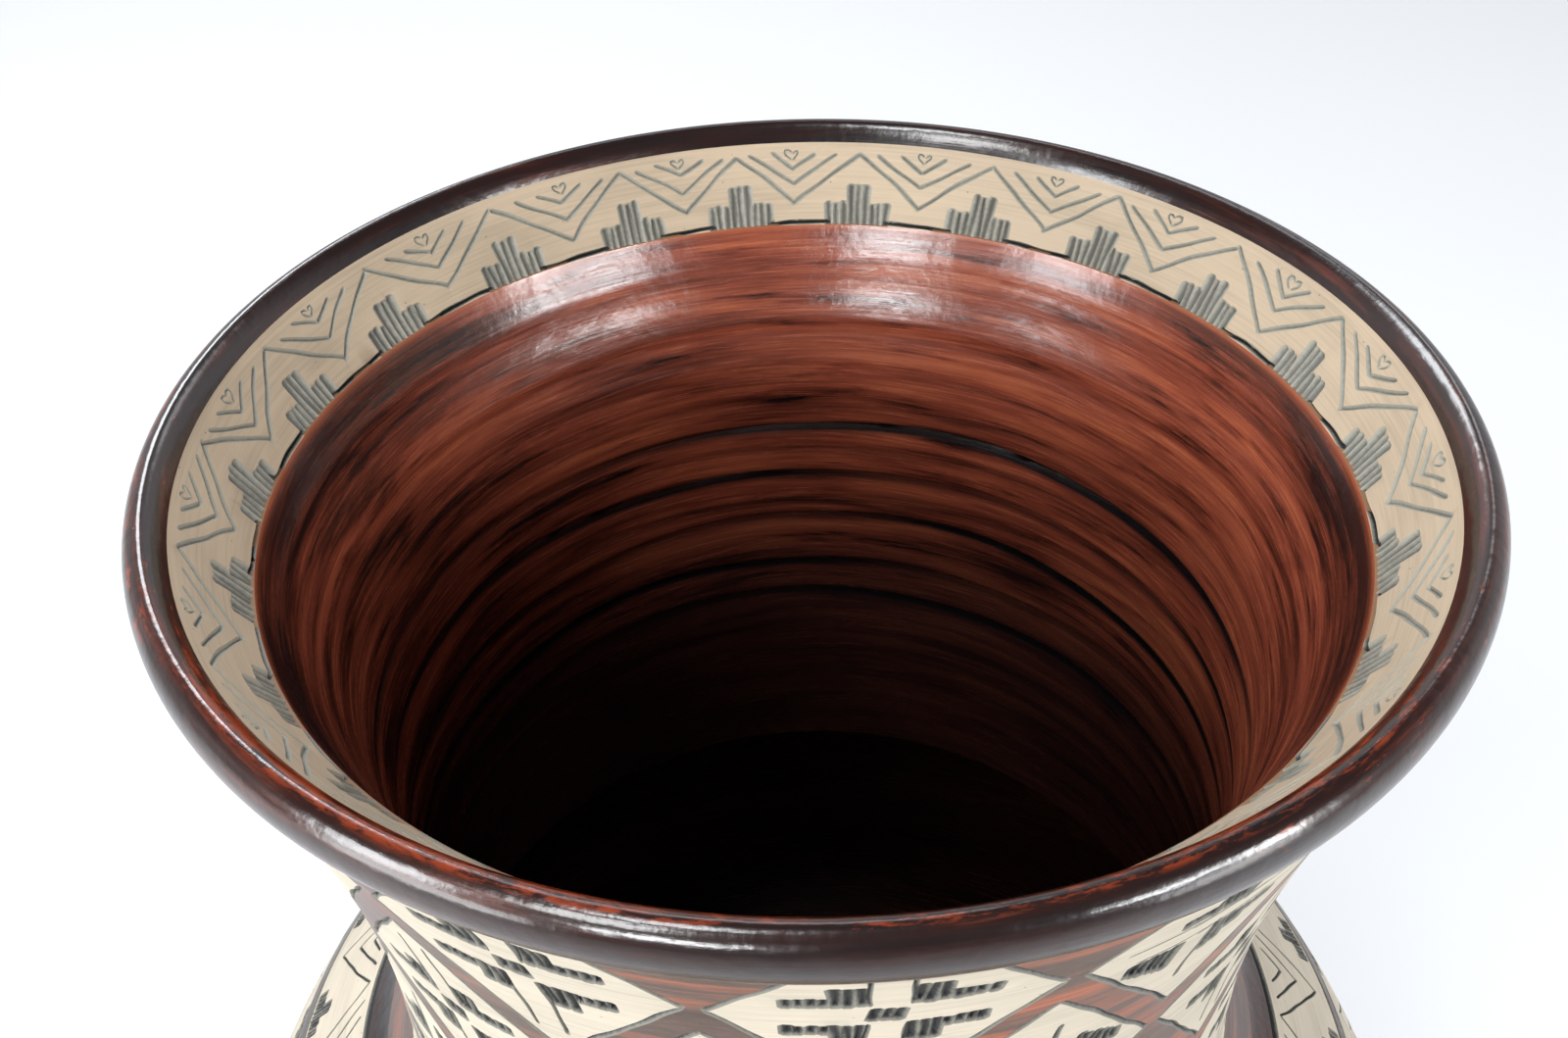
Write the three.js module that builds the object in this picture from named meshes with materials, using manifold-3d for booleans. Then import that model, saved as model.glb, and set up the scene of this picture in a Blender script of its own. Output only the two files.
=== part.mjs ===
// Incised slip-ware vase: thrown clay sections and coils, seated one on the other.
// Millimetres, +Z up, origin in the middle of the foot, on the surface the vase stands on.
import Module from "manifold-3d";
import * as THREE from "three";
import { mergeVertices } from "three/addons/utils/BufferGeometryUtils.js";

// Heights of the clay pieces, from the ground up
const footHeight = 9;
const floorThickness = 12;
const lowerBellyHeight = 222;
const upperBellyHeight = 162;
const neckHeight = 199.2;
const collarHeight = 20.6;
const lipRise = 5.2;

// Outer radii at the stations that set the silhouette
const footRadius = 92;
const bellyRadius = 216;
const waistRadius = 121.5;
const mouthRadius = 150;

// Steps in radius from those stations
const footSpread = 2;
const floorSpread = 6;
const rootStep = 13.5;
const grooveStep = 8.7;
const stripeStep = 37.4;
const kneeStep = 40.3;
const lipWidth = 10.4;
const crownSetback = 4.8;
const lipOverhang = 4;
const collarSetback = 8.2;

// Heights of those stations above or below the piece's own seam
const grooveDrop = 7.6;
const stripeDrop = 33.6;
const waistRise = 67.5;
const lipDrop = 7.8;
const beadRise = 6.5;
const crownEase = 0.6;

// Lean of the wall at each station: radius gained per millimetre of height
const floorLean = 1.15;
const kneeLean = -0.6;
const stripeLean = -1;
const grooveLean = -1.15;
const rootLean = -0.75;
const collarLean = 0.3;
const throatLean = -0.12;
const ringsTopLean = 0.12;
const boreTopLean = 0.38;

// Clay thickness
const wall = 11;
const rootWall = 13.2;
const collarWall = 14;
const cornerFillet = 8;

// Foot ring
const footWidth = 15;
const footBevel = 2;

// Joints between the pieces: stepped seats, with a film of slip in the upright part
const slipGap = 0.3;
const beltRebate = 4;
const beltTongue = 5.5;
const throatDrop = 15;
const throatSeat = 7.5;
const lipSeat = 3.2;

// Throwing rings inside the neck and turned grooves on the shoulder
const ringPitch = 18.1;
const ringCount = 5;
const ringDepth = 1.2;
const ringsTopDrop = 61;
const ringsBoreGain = 1.2;
const grooveWidth = 3.2;
const grooveDepth = 1.4;
const stripeWidth = 3.2;
const linerWidth = 1.6;
const linerDepth = 1;

// Rows of carved lozenges on the neck; each holds a pale cross or a fret between blocks cut into the clay
const lozengeCount = 13;
const lozengeFront = 275;
const topRowDrop = 8.7;
const rowPitch = 51;
const rowCount = 4;
const carveDepth = 1;
const cutterRise = 3;
const uprightHalfWidth = 3.4;
const crossbarHalfHeight = 4.4;
const cornerStep = 5.2;
const cornerReach = 13;
const cornerRise = 5.4;
const cornerTop = 11;
const combWidth = 13.3;
const combRise = 8;

// Fineness of the turned shapes
const turnFacets = 60;
const bellySteps = 7;
const shoulderSteps = 3;
const neckSteps = 4;
const lipSteps = 4;

// Seams and stations worked out from the sizes above
const floorBottom = footHeight;
const floorTop = floorBottom + floorThickness;
const beltSeam = floorTop + lowerBellyHeight;
const neckSeam = beltSeam + upperBellyHeight;
const collarSeam = neckSeam + neckHeight;
const lipSeam = collarSeam + collarHeight;
const rimTop = lipSeam + lipRise;
const lipFoot = lipSeam - lipDrop;
const floorRadius = footRadius + floorSpread;
const rootRadius = waistRadius + rootStep;
const boreRadius = waistRadius - wall;
const throatRadius = rootRadius - rootWall;
const collarRadius = mouthRadius - collarSetback;
const bandFootRadius = collarRadius - collarWall;
const mouthBore = mouthRadius - lipWidth;
const lipSpigot = mouthBore + lipSeat;
const crownRadius = mouthRadius - crownSetback;
const underLipRadius = mouthRadius - lipOverhang;
const stripeHeight = neckSeam - stripeDrop;
const kneeHeight = stripeHeight - stripeWidth;
const grooveHeight = neckSeam - grooveDrop;
const waistHeight = neckSeam + waistRise;
const throatFoot = neckSeam - throatDrop;
const ringsTop = collarSeam - ringsTopDrop;
const ringsFoot = ringsTop - ringPitch * (ringCount - 1);
const topRow = collarSeam - topRowDrop;

// Smooth curve through stations of height, radius and lean: gives radius and lean at a height
function curveThrough(stations) {
  return (height) => {
    const last = stations.length - 2;
    const found = stations.findIndex((s, i) => i > 0 && height <= s.z) - 1;
    const i = found < 0 ? last : found;
    const [a, b] = [stations[i], stations[i + 1]];
    const span = b.z - a.z;
    const t = (height - a.z) / span;
    const rise = b.r - a.r;
    const startLean = a.lean * span;
    const endLean = b.lean * span;
    const square = 3 * rise - 2 * startLean - endLean;
    const cube = startLean + endLean - 2 * rise;
    return {
      radius: a.r + t * (startLean + t * (square + t * cube)),
      lean: (startLean + t * (2 * square + t * 3 * cube)) / span,
    };
  };
}

const outside = curveThrough([
  { z: floorTop, r: floorRadius, lean: floorLean },
  { z: beltSeam, r: bellyRadius, lean: 0 },
  { z: kneeHeight, r: rootRadius + kneeStep, lean: kneeLean },
  { z: stripeHeight, r: rootRadius + stripeStep, lean: stripeLean },
  { z: grooveHeight, r: rootRadius + grooveStep, lean: grooveLean },
  { z: neckSeam, r: rootRadius, lean: rootLean },
  { z: waistHeight, r: waistRadius, lean: 0 },
  { z: collarSeam, r: collarRadius, lean: collarLean },
]);

const neckBore = curveThrough([
  { z: throatFoot, r: throatRadius, lean: throatLean },
  { z: ringsFoot, r: boreRadius, lean: 0 },
  { z: ringsTop, r: boreRadius + ringsBoreGain, lean: ringsTopLean },
  { z: collarSeam, r: bandFootRadius, lean: boreTopLean },
]);

const wasm = await Module();
wasm.setup();

const point = (x, y) => new THREE.Vector2(x, y);

function heights(from, to, steps) {
  return Array.from({ length: steps + 1 }, (_, i) => from + ((to - from) * i) / steps);
}

function outerWall(from, to, steps) {
  return heights(from, to, steps).map((z) => point(outside(z).radius, z));
}

// The belly's inner face keeps the wall's thickness square to the outer face
function insideOfWall(height) {
  const { radius, lean } = outside(height);
  return point(radius - wall * Math.hypot(1, lean), height);
}

function innerWall(from, to, steps) {
  return heights(from, to, steps).map(insideOfWall);
}

// A turned V groove in the outer face, listed upwards
function groove(height, width, depth) {
  const half = width / 2;
  return [
    point(outside(height - half).radius, height - half),
    point(outside(height).radius - depth, height),
    point(outside(height + half).radius, height + half),
  ];
}

// Points along part of an ellipse, its start left out
function ellipseArc(center, radiusX, radiusZ, from, to) {
  const curve = new THREE.EllipseCurve(center.x, center.y, radiusX, radiusZ, from, to, to < from);
  return curve.getPoints(lipSteps).slice(1);
}

// A ring or disc of clay turned about the vertical axis from an outline of radius and height
function turned(name, outline, color, roughness) {
  const closed = outline[0].x === 0 ? outline : [...outline, outline[0].clone()];
  const geometry = new THREE.LatheGeometry(closed, turnFacets);
  geometry.rotateX(Math.PI / 2);
  const material = new THREE.MeshStandardMaterial({ color, roughness, metalness: 0 });
  const mesh = new THREE.Mesh(geometry, material);
  mesh.name = name;
  return mesh;
}

function footRing() {
  const inner = footRadius - footWidth;
  return turned("foot_ring", [
    point(inner + footBevel, 0),
    point(footRadius - footBevel, 0),
    point(footRadius, footBevel),
    point(footRadius + footSpread, footHeight),
    point(inner - footSpread, footHeight),
    point(inner, footBevel),
  ], 0x8a6247, 0.8);
}

function floorDisc() {
  return turned("floor_disc", [
    point(0, floorBottom),
    point(footRadius + footSpread, floorBottom),
    point(floorRadius, floorTop),
    point(0, floorTop),
  ], 0xa37f60, 0.85);
}

function lowerBelly() {
  const tongueTop = beltSeam + beltRebate - slipGap;
  const tongueRadius = bellyRadius - beltTongue;
  const cornerTop = floorTop + cornerFillet;
  return turned("lower_belly", [
    ...outerWall(floorTop, beltSeam, bellySteps),
    point(tongueRadius, beltSeam),
    point(tongueRadius, tongueTop),
    ...innerWall(tongueTop, cornerTop, bellySteps),
    point(insideOfWall(floorTop).x - cornerFillet, floorTop),
  ], 0xd9c8a8, 0.7);
}

function upperBelly() {
  const rebateRadius = bellyRadius - beltTongue + slipGap;
  const rebateTop = beltSeam + beltRebate;
  const openingRadius = rootRadius - throatSeat;
  const bandFoot = stripeHeight + linerWidth / 2;
  const bandTop = grooveHeight - grooveWidth / 2;
  return turned("upper_belly", [
    ...outerWall(beltSeam, kneeHeight - linerWidth / 2, bellySteps).slice(0, -1),
    ...groove(kneeHeight, linerWidth, linerDepth),
    ...groove(stripeHeight, linerWidth, linerDepth),
    ...outerWall(bandFoot, bandTop, shoulderSteps).slice(1, -1),
    ...groove(grooveHeight, grooveWidth, grooveDepth),
    point(rootRadius, neckSeam),
    point(openingRadius, neckSeam),
    point(openingRadius, throatFoot),
    ...innerWall(throatFoot - slipGap, rebateTop, bellySteps),
    point(rebateRadius, rebateTop),
    point(rebateRadius, beltSeam),
  ], 0xd9c8a8, 0.65);
}

// Soft crests with a sharp valley between them, left by the potter's fingers
function throwingRings() {
  const crestLift = ringPitch / 2;
  return heights(ringsTop, ringsFoot, ringCount - 1).flatMap((z) => [
    point(neckBore(z).radius + ringDepth, z),
    point(neckBore(z - crestLift).radius, z - crestLift),
  ]);
}

// Corners of the block in one quarter of a lozenge, across and up from the block's own start
const crossBlock = [[0, 0], [cornerReach, 0], [cornerReach, cornerRise], [cornerStep, cornerRise],
  [cornerStep, cornerTop], [0, cornerTop]];
const combBlock = [[0, 0], [combWidth, 0], [combWidth, combRise / 2], [combWidth / 2, combRise], [0, combRise]];

// A cutter that sinks a block into the neck's outer face, in one quarter of the lozenge centred there
function cutter(block, sideways, upwards, angle, height) {
  const start = height + upwards * crossbarHalfHeight;
  const { radius, lean } = outside(start);
  const corners = block.map(([across, up]) => point(sideways * (uprightHalfWidth + across), upwards * up));
  const shape = new THREE.Shape(corners);
  const depth = carveDepth + cutterRise;
  const geometry = new THREE.ExtrudeGeometry(shape, { depth, bevelEnabled: false });
  geometry.translate(0, 0, -carveDepth);
  const along = new THREE.Vector3(0, 1, 0);
  const upWall = new THREE.Vector3(lean, 0, 1).normalize();
  const outward = new THREE.Vector3(1, 0, -lean).normalize();
  const seat = new THREE.Matrix4().makeBasis(along, upWall, outward).setPosition(radius, 0, start);
  return geometry.applyMatrix4(seat).rotateZ(angle);
}

// Every other lozenge holds a cross with four stepped corners, and the rest a fret with two combs.
// The polished band round the root covers the lower half of the last row.
function lozengeRows() {
  return Array.from({ length: rowCount * lozengeCount }, (_, n) => {
    const row = Math.floor(n / lozengeCount);
    const place = n % lozengeCount;
    const turn = (place + (row % 2) / 2) / lozengeCount;
    const angle = THREE.MathUtils.degToRad(lozengeFront) + 2 * Math.PI * turn;
    const height = topRow - row * rowPitch;
    const cross = (place + row) % 2 === 0;
    const quarters = cross ? [[-1, -1], [-1, 1], [1, -1], [1, 1]] : [[-1, -1], [1, 1]];
    const shown = quarters.filter(([, upwards]) => upwards > 0 || row < rowCount - 1);
    return shown.map(([sideways, upwards]) =>
      cutter(cross ? crossBlock : combBlock, sideways, upwards, angle, height));
  }).flat();
}

// A closed mesh as a solid that can be cut
function solidOf(geometry) {
  const bare = geometry.clone().deleteAttribute("normal").deleteAttribute("uv");
  const merged = mergeVertices(bare);
  const vertProperties = merged.attributes.position.array;
  const triVerts = new Uint32Array(merged.index.array);
  return new wasm.Manifold(new wasm.Mesh({ numProp: 3, vertProperties, triVerts }));
}

// Cuts every block out of a mesh
function carved(mesh, cutters) {
  const rest = cutters.reduce((clay, block) => clay.subtract(solidOf(block)), solidOf(mesh.geometry));
  const { vertProperties, triVerts } = rest.getMesh();
  mesh.geometry = new THREE.BufferGeometry();
  mesh.geometry.setAttribute("position", new THREE.BufferAttribute(vertProperties, 3));
  mesh.geometry.setIndex(new THREE.BufferAttribute(triVerts, 1));
  mesh.geometry.computeVertexNormals();
  return mesh;
}

function neck() {
  const spigotRadius = rootRadius - throatSeat - slipGap;
  const boreAbove = heights(collarSeam, ringsTop, neckSteps).slice(0, -1);
  const boreBelow = heights(ringsFoot - ringPitch, throatFoot, neckSteps - 1);
  const thrown = turned("neck", [
    point(spigotRadius, throatFoot),
    point(spigotRadius, neckSeam),
    ...outerWall(neckSeam, waistHeight, neckSteps),
    ...outerWall(waistHeight, collarSeam, neckSteps).slice(1),
    ...boreAbove.map((z) => point(neckBore(z).radius, z)),
    ...throwingRings(),
    ...boreBelow.map((z) => point(neckBore(z).radius, z)),
  ], 0x5f2618, 0.35);
  return carved(thrown, lozengeRows());
}

function mouthCollar() {
  return turned("mouth_collar", [
    point(bandFootRadius, collarSeam),
    point(collarRadius, collarSeam),
    point(underLipRadius, lipFoot - slipGap),
    point(lipSpigot, lipFoot - slipGap),
    point(lipSpigot, lipSeam),
    point(mouthBore, lipSeam),
  ], 0xb89d7d, 0.7);
}

function rolledLip() {
  const quarter = Math.PI / 2;
  const beadHeight = rimTop - beadRise;
  const innerSlope = new THREE.QuadraticBezierCurve(
    point(crownRadius, rimTop),
    point((crownRadius + mouthBore) / 2, rimTop - crownEase),
    point(mouthBore, lipSeam),
  );
  return turned("rolled_lip", [
    point(lipSpigot + slipGap, lipSeam),
    point(lipSpigot + slipGap, lipFoot),
    point(underLipRadius, lipFoot),
    ...ellipseArc(point(underLipRadius, beadHeight), lipOverhang, beadHeight - lipFoot, -quarter, 0),
    ...ellipseArc(point(crownRadius, beadHeight), crownSetback, beadRise, 0, quarter),
    ...innerSlope.getPoints(lipSteps).slice(1),
  ], 0x3b1812, 0.25);
}

const vase = new THREE.Group();
vase.name = "vase";
vase.add(footRing(), floorDisc(), lowerBelly(), upperBelly(), neck(), mouthCollar(), rolledLip());

export default vase;
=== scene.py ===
"""Large slip-ware vase: thrown and coiled clay, burnished red-brown and cut by hand through pale slip."""

import math
import random

import bmesh
import bpy
import numpy as np
from mathutils import Euler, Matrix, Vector
from mathutils.geometry import delaunay_2d_cdt, interpolate_bezier


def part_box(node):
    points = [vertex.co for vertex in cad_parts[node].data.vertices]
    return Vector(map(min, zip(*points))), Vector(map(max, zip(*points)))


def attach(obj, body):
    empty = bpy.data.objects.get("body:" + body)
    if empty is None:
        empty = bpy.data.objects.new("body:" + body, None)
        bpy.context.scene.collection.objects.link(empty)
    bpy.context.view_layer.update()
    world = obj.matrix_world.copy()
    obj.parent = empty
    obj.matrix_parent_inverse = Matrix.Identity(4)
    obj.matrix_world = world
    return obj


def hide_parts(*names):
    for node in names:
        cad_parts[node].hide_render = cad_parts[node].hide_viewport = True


bl_info = {
    "name": "Carved slip-ware vase",
    "version": (1, 0, 0),
    "blender": (4, 5, 0),
    "location": "3D View > Sidebar > Vase",
    "description": "Builds a burnished clay vase with a hand-cut pattern, and a plain studio round it",
    "category": "Add Mesh",
}

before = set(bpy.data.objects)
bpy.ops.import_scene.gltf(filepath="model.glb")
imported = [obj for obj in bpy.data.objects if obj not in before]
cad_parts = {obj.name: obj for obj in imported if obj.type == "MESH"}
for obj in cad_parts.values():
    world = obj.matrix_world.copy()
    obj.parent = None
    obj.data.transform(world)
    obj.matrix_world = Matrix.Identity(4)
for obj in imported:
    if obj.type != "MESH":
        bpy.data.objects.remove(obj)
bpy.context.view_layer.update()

MM = 0.001
TURN = 2 * math.pi


def linear(code):
    """A colour in linear light from its sRGB hex code."""
    parts = [int(code[i : i + 2], 16) / 255 for i in (1, 3, 5)]
    return tuple(p / 12.92 if p <= 0.04045 else ((p + 0.055) / 1.055) ** 2.4 for p in parts)


def top_of(node):
    """Height of a clay piece's top in the frame, in millimetres."""
    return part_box(node)[1].z / MM


def width_of(node):
    """Largest radius of a clay piece in the frame, in millimetres."""
    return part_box(node)[1].x / MM


# Seams and radii that the clay pieces have in the frame, in millimetres
RIM_TOP = top_of("rolled_lip")
LIP_SEAM = top_of("mouth_collar")
COLLAR_SEAM = top_of("neck")
NECK_SEAM = top_of("upper_belly")
THROAT_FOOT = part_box("neck")[0].z / MM
BELT_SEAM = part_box("upper_belly")[0].z / MM
FLOOR_TOP = top_of("floor_disc")
FLOOR_BOTTOM = top_of("foot_ring")
MOUTH_RADIUS = width_of("rolled_lip")
BELLY_RADIUS = width_of("upper_belly")

# The rest of the turned profile, in millimetres
WAIST = (472.5, 121.5)
COLLAR_RADIUS = 141.8
BAND_FOOT_RADIUS = 127.8
MOUTH_BORE = 141.0
LIP_FOOT = (146, 617)
LIP_SEAT_RADIUS = 142.95
BEAD_HEIGHT = 623.5
CROWN_RADIUS = 145.2
CROWN_EASE = 0.6
BEAD_STEPS = 14
ROOT_RADIUS = 135.0
OPENING_RADIUS = 127.35
FLOOR_RADIUS = 98.0
WALL = 11.0
KNEE = (368.2, 175.3)
STRIPE = (371.4, 172.4)
GROOVE = (397.4, 143.7)
TONGUE_RADIUS = 210.5
TONGUE_TOP = 246.85
FLOOR_CORNER = 8.0
FOOT_PROFILE = [(79, 0.2), (78, 0.6), (77, 2), (75, 9), (94, 9), (92, 2), (91, 0.6), (90, 0), (80, 0)]

# Height, radius and lean of the outer wall at its stations, from the floor up
STATIONS = [
    (FLOOR_TOP, FLOOR_RADIUS, 1.15),
    (BELT_SEAM, BELLY_RADIUS, 0),
    (*KNEE, -0.6),
    (*STRIPE, -1),
    (*GROOVE, -1.15),
    (NECK_SEAM, ROOT_RADIUS, -0.75),
    (*WAIST, 0),
    (COLLAR_SEAM, COLLAR_RADIUS, 0.3),
]
BORE_STATIONS = [
    (THROAT_FOOT, 121.8, -0.12),
    (470.8, 110.5, 0),
    (543.2, 111.7, 0.12),
    (COLLAR_SEAM, BAND_FOOT_RADIUS, 0.38),
]

# Finishes that a face can have
TAN, CREAM, MAHOGANY, POLISHED, LIP, CUT, PALE_CUT, CLAY = range(8)

# Directions, in degrees, of the chevron points seen inside the mouth; the hidden ones are spread evenly
SEEN_CHEVRONS = [-7.7, 8.7, 25.2, 42.6, 58.2, 75.2, 91.5, 105.8, 121.3, 139.7, 157.7, 174.3, 189.5]
MOUTH_REPEATS = 22
SHOULDER_REPEATS = 24
NECK_REPEATS = 13
BELLY_REPEATS = 16
NECK_FRONT = 275.0

# How much of the lip's slip hands have rubbed off, by degrees from the left-hand side round the front:
# along the inner edge, and on the outer shoulder. The first two are the ends of the round.
INNER_WEAR = [(0, 0.5), (360, 0.5), (30, 0.62), (45, 0.74), (72, 0.72), (88, 0.62), (104, 0.6), (116, 0.68),
              (140, 0.62), (165, 0.45), (200, 0.35), (300, 0.35)]
OUTER_WEAR = [(0, 0.66), (360, 0.66), (35, 0.62), (55, 0.4), (95, 0.45), (120, 0.55), (150, 0.56),
              (200, 0.52), (250, 0.56), (300, 0.52), (335, 0.66)]
# How sharply a worn stretch ends, and how much rubbing and mark together it takes
WEAR_GAIN, WEAR_OFFSET = 9.0, -10.3

# Heights of the lozenge rows on the neck and of the polished band under them, in millimetres
LOZENGE_ROWS = [595.5, 544.5, 493.5, 442.5]
LOZENGE_HALF_HEIGHT = 41.0
LOZENGE_GAP = 1.6
NECK_BAND_TOP = 431.0

# The lower pattern is a guess in the style of the upper one: slopes down the belly, in millimetres
PATTERN_FOOT = 168.0
LOWER_BAND_FOOT = 97.0
ROW_CENTRE = 172.0
ROW_HALF = 52.0

# Rows of points down the inner face of the neck: start, end and distance in millimetres, closest at the rings
BORE_ROWS = [(COLLAR_SEAM, 546, 1.3), (546, 455, 0.85), (455, THROAT_FOOT, 2.2)]
BORE_COLUMNS = 288
# Sharp throwing rings there, as height in millimetres and strength
THROWING_RINGS = [(543.2, 1), (525, 1), (505.5, 0.95), (488.5, 0.8), (472, 0.75), (455, 0.45), (552, 0.2),
                  (534, 0.25), (515, 0.3)]
# Soft ridges above them: height, rise and reach in millimetres
SOFT_RIDGES = [(594.5, 0.4, 4), (575, 1.0, 9.5), (564.5, 0.45, 5), (554, 0.25, 5)]
# How far a ring takes to fade downwards and upwards, and a ridge downwards, in millimetres
RING_FALL, RING_EDGE, RIDGE_EDGE = 4.4, 0.55, 1.6
# The painted shade under a ring's ledge: strength, and place and width in millimetres
PAINTED_RING_SHADE, PAINTED_RING_SHADE_DROP, PAINTED_RING_SHADE_WIDTH = 1.6, 1.1, 1.9

# Inside the neck, in millimetres: the heights down the throat over which painted shade deepens, and, where
# the slip ran thick at both sides under the mouth, the distances from the middle and the heights
PAINTED_THROAT_SHADE = (540, 465)
SIDE_SHADE_OUT, SIDE_SHADE_UP = (84, 110), (584, 592)
# How strongly the painted shade in the throat, the thick slip at the sides and the smears between them show
PAINTED_THROAT_SHADE_STRENGTH, SIDE_STRENGTH, SMEAR_STRENGTH = 0.86, 0.09, 0.12
# Painted light: the side of the pot that the key light falls on, painted paler as if its slip lay thinner
PAINTED_LIT_SIDE = (0.64, 0.77, 0)
# Colours of the painted shade down the throat and under the rings, and of a chip
PAINTED_THROAT_SHADE_COLOUR, PAINTED_RING_SHADE_COLOUR, CHIP = "#121012", "#0D0D10", "#6F5D50"

# Noise, as waves in a metre: the slow drift of brush marks, dents 6 mm wide in burnished slip, grit 1 mm wide
# in cut clay, and patches a foot wide on the floor
DRIFT, DENTS, GRIT, PATCHES = 9.0, 170.0, 900.0, 3.0

# The camera that was fitted to the photograph, in metres and degrees, and its lens and sensor in millimetres
CAMERA_PLACE = (0, -0.28827, 0.82432)
CAMERA_TURN = (51.2242, 1.2548, 0.2585)
LENS, SENSOR = 35.145, 36

# The floor's reach in metres, how much of its colour is left under the painted shade on the camera's side,
# and its painted glow there and behind the pot; each changes between two places along Y, in millimetres
FLOOR_REACH = 12
PAINTED_SHADE_SHARE = 0.5
PAINTED_GLOW = (0.1, 0.42)
PAINTED_SHADE_SPAN, PAINTED_GLOW_RISE = (-1500, -100), (-1400, 200)

# The studio's air: its strength, its shade low behind the pot and high towards the camera, and how much a
# direction's lean towards the back takes off its height
AIR_STRENGTH = 0.65
AIR_BACK, AIR_FRONT = "#F7FAFF", "#737477"
AIR_LEAN = -0.45

# Lights round the mouth: name, heading and height in degrees, distance and size in metres, radiance in watts
# a square metre and steradian, and colour
LIGHTS = [
    ("key_light", 235, 42, 2.7, (0.8, 0.8), 11, "#FFFFFF"),
    ("side_left_light", 211, 15, 2.6, (0.8, 1.0), 12, "#F8FCFF"),
    ("left_card", 218, -6, 1.5, (0.8, 0.4), 6, "#FFFFFF"),
    ("right_card", 324, -5, 1.5, (0.5, 0.35), 5, "#FFFFFF"),
    ("low_left_light", 250, 14, 2.6, (0.85, 0.3), 26, "#FAFDFF"),
    ("low_right_light", 316, 13, 2.5, (0.7, 0.3), 22, "#FAFDFF"),
    ("right_lamp", 332, 12, 2.6, (0.3, 0.8), 26, "#FFFFFF"),
    ("high_left_light", 234, 66, 2.4, (0.6, 0.45), 14, "#F9FCFF"),
    ("top_light", 100, 58, 2.4, (1.2, 0.7), 2.5, "#F7FAFF"),
    ("back_left_light", 118, 32, 3, (1.2, 0.9), 10, "#F7FAFF"),
    ("back_right_light", 62, 30, 3, (0.9, 0.6), 2.5, "#F7FAFF"),
]


def size(name, millimetres, description, least=0.0):
    """A size that the user can change."""
    return bpy.props.FloatProperty(
        name=name, description=description, default=millimetres * MM, min=least * MM, unit="LENGTH",
        precision=5)


class VaseSizes(bpy.types.PropertyGroup):
    """Sizes of the tool marks and of the potter's hand"""

    line_width: size(
        "Line outside", 1.25, "Width of a line cut into the neck and belly with the point of the tool", 0.2)
    band_line_width: size(
        "Line inside", 1.45, "Width of a line cut into the band inside the mouth with a blunt tool", 0.2)
    line_depth: size("Line depth", 0.7, "Depth of an incised line at its middle", 0.1)
    gouge_pitch: size("Gouge spacing", 1.9, "Distance from one gouge of the stepped shapes to the next", 0.5)
    gouge_depth: size("Gouge depth", 1.05, "Depth of a gouge at its middle", 0.1)
    ring_depth: size("Throwing rings", 1.7, "Depth of the sharp rings inside the neck")
    waver: size("Waver", 0.22, "How far a hand-drawn line strays from true")
    out_of_round: size("Out of round", 0.7, "How far the thrown wall lies inside a true circle at most")


def colour(name, code, description):
    """A colour that the user can change."""
    return bpy.props.FloatVectorProperty(
        name=name, description=description, subtype="COLOR", size=3, min=0, max=1, default=linear(code))


class VaseColours(bpy.types.PropertyGroup):
    """Colours of the slips, the cut clay and the studio"""

    tan: colour("Tan slip", "#C4B096", "Band inside the mouth")
    cream: colour("Cream slip", "#CCC1AE", "Ground of the pattern outside")
    red_brown: colour("Red-brown slip", "#8A4330", "Burnished slip inside the neck")
    orange: colour("Thin slip", "#B05F40", "Where the brush left the red-brown slip thin")
    dark: colour("Thick slip", "#191011", "Where the red-brown slip lies thick")
    umber: colour("Waxed strips", "#5A463F", "Grey-brown strips between the lozenges")
    soot: colour("Pigment", "#2A2C2C", "Dark pigment in the bottom of the cuts")
    ash: colour("Cut clay", "#A8A598", "Pale ridges and walls of the cuts")
    clay: colour("Fired clay", "#9A7658", "Bare clay inside the belly and under the foot")
    floor: colour("Floor", "#D0D3D6", "Studio floor")


def curve_through(stations):
    """Radius at a height on a smooth curve through stations of height, radius and lean."""
    table = np.array(stations, float)

    def radius(height):
        i = int(np.clip(np.searchsorted(table[:, 0], height) - 1, 0, len(table) - 2))
        (z0, r0, lean0), (z1, r1, lean1) = table[i], table[i + 1]
        span = z1 - z0
        t = (height - z0) / span
        rise, start, end = r1 - r0, lean0 * span, lean1 * span
        square, cube = 3 * rise - 2 * start - end, start + end - 2 * rise
        return r0 + t * (start + t * (square + t * cube))

    return radius


outside = curve_through(STATIONS)
bore = curve_through(BORE_STATIONS)


def wall_inside(height):
    """Radius of the belly's inner face, one wall thickness square to the outer face."""
    lean = (outside(height + 0.5) - outside(height - 0.5)) if height > FLOOR_TOP + 1 else STATIONS[0][2]
    return outside(height) - WALL * math.hypot(1, lean)


def heights(start, end, step):
    """Heights from start to end, about one step apart."""
    return np.linspace(start, end, max(2, round(abs(end - start) / step) + 1))


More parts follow.
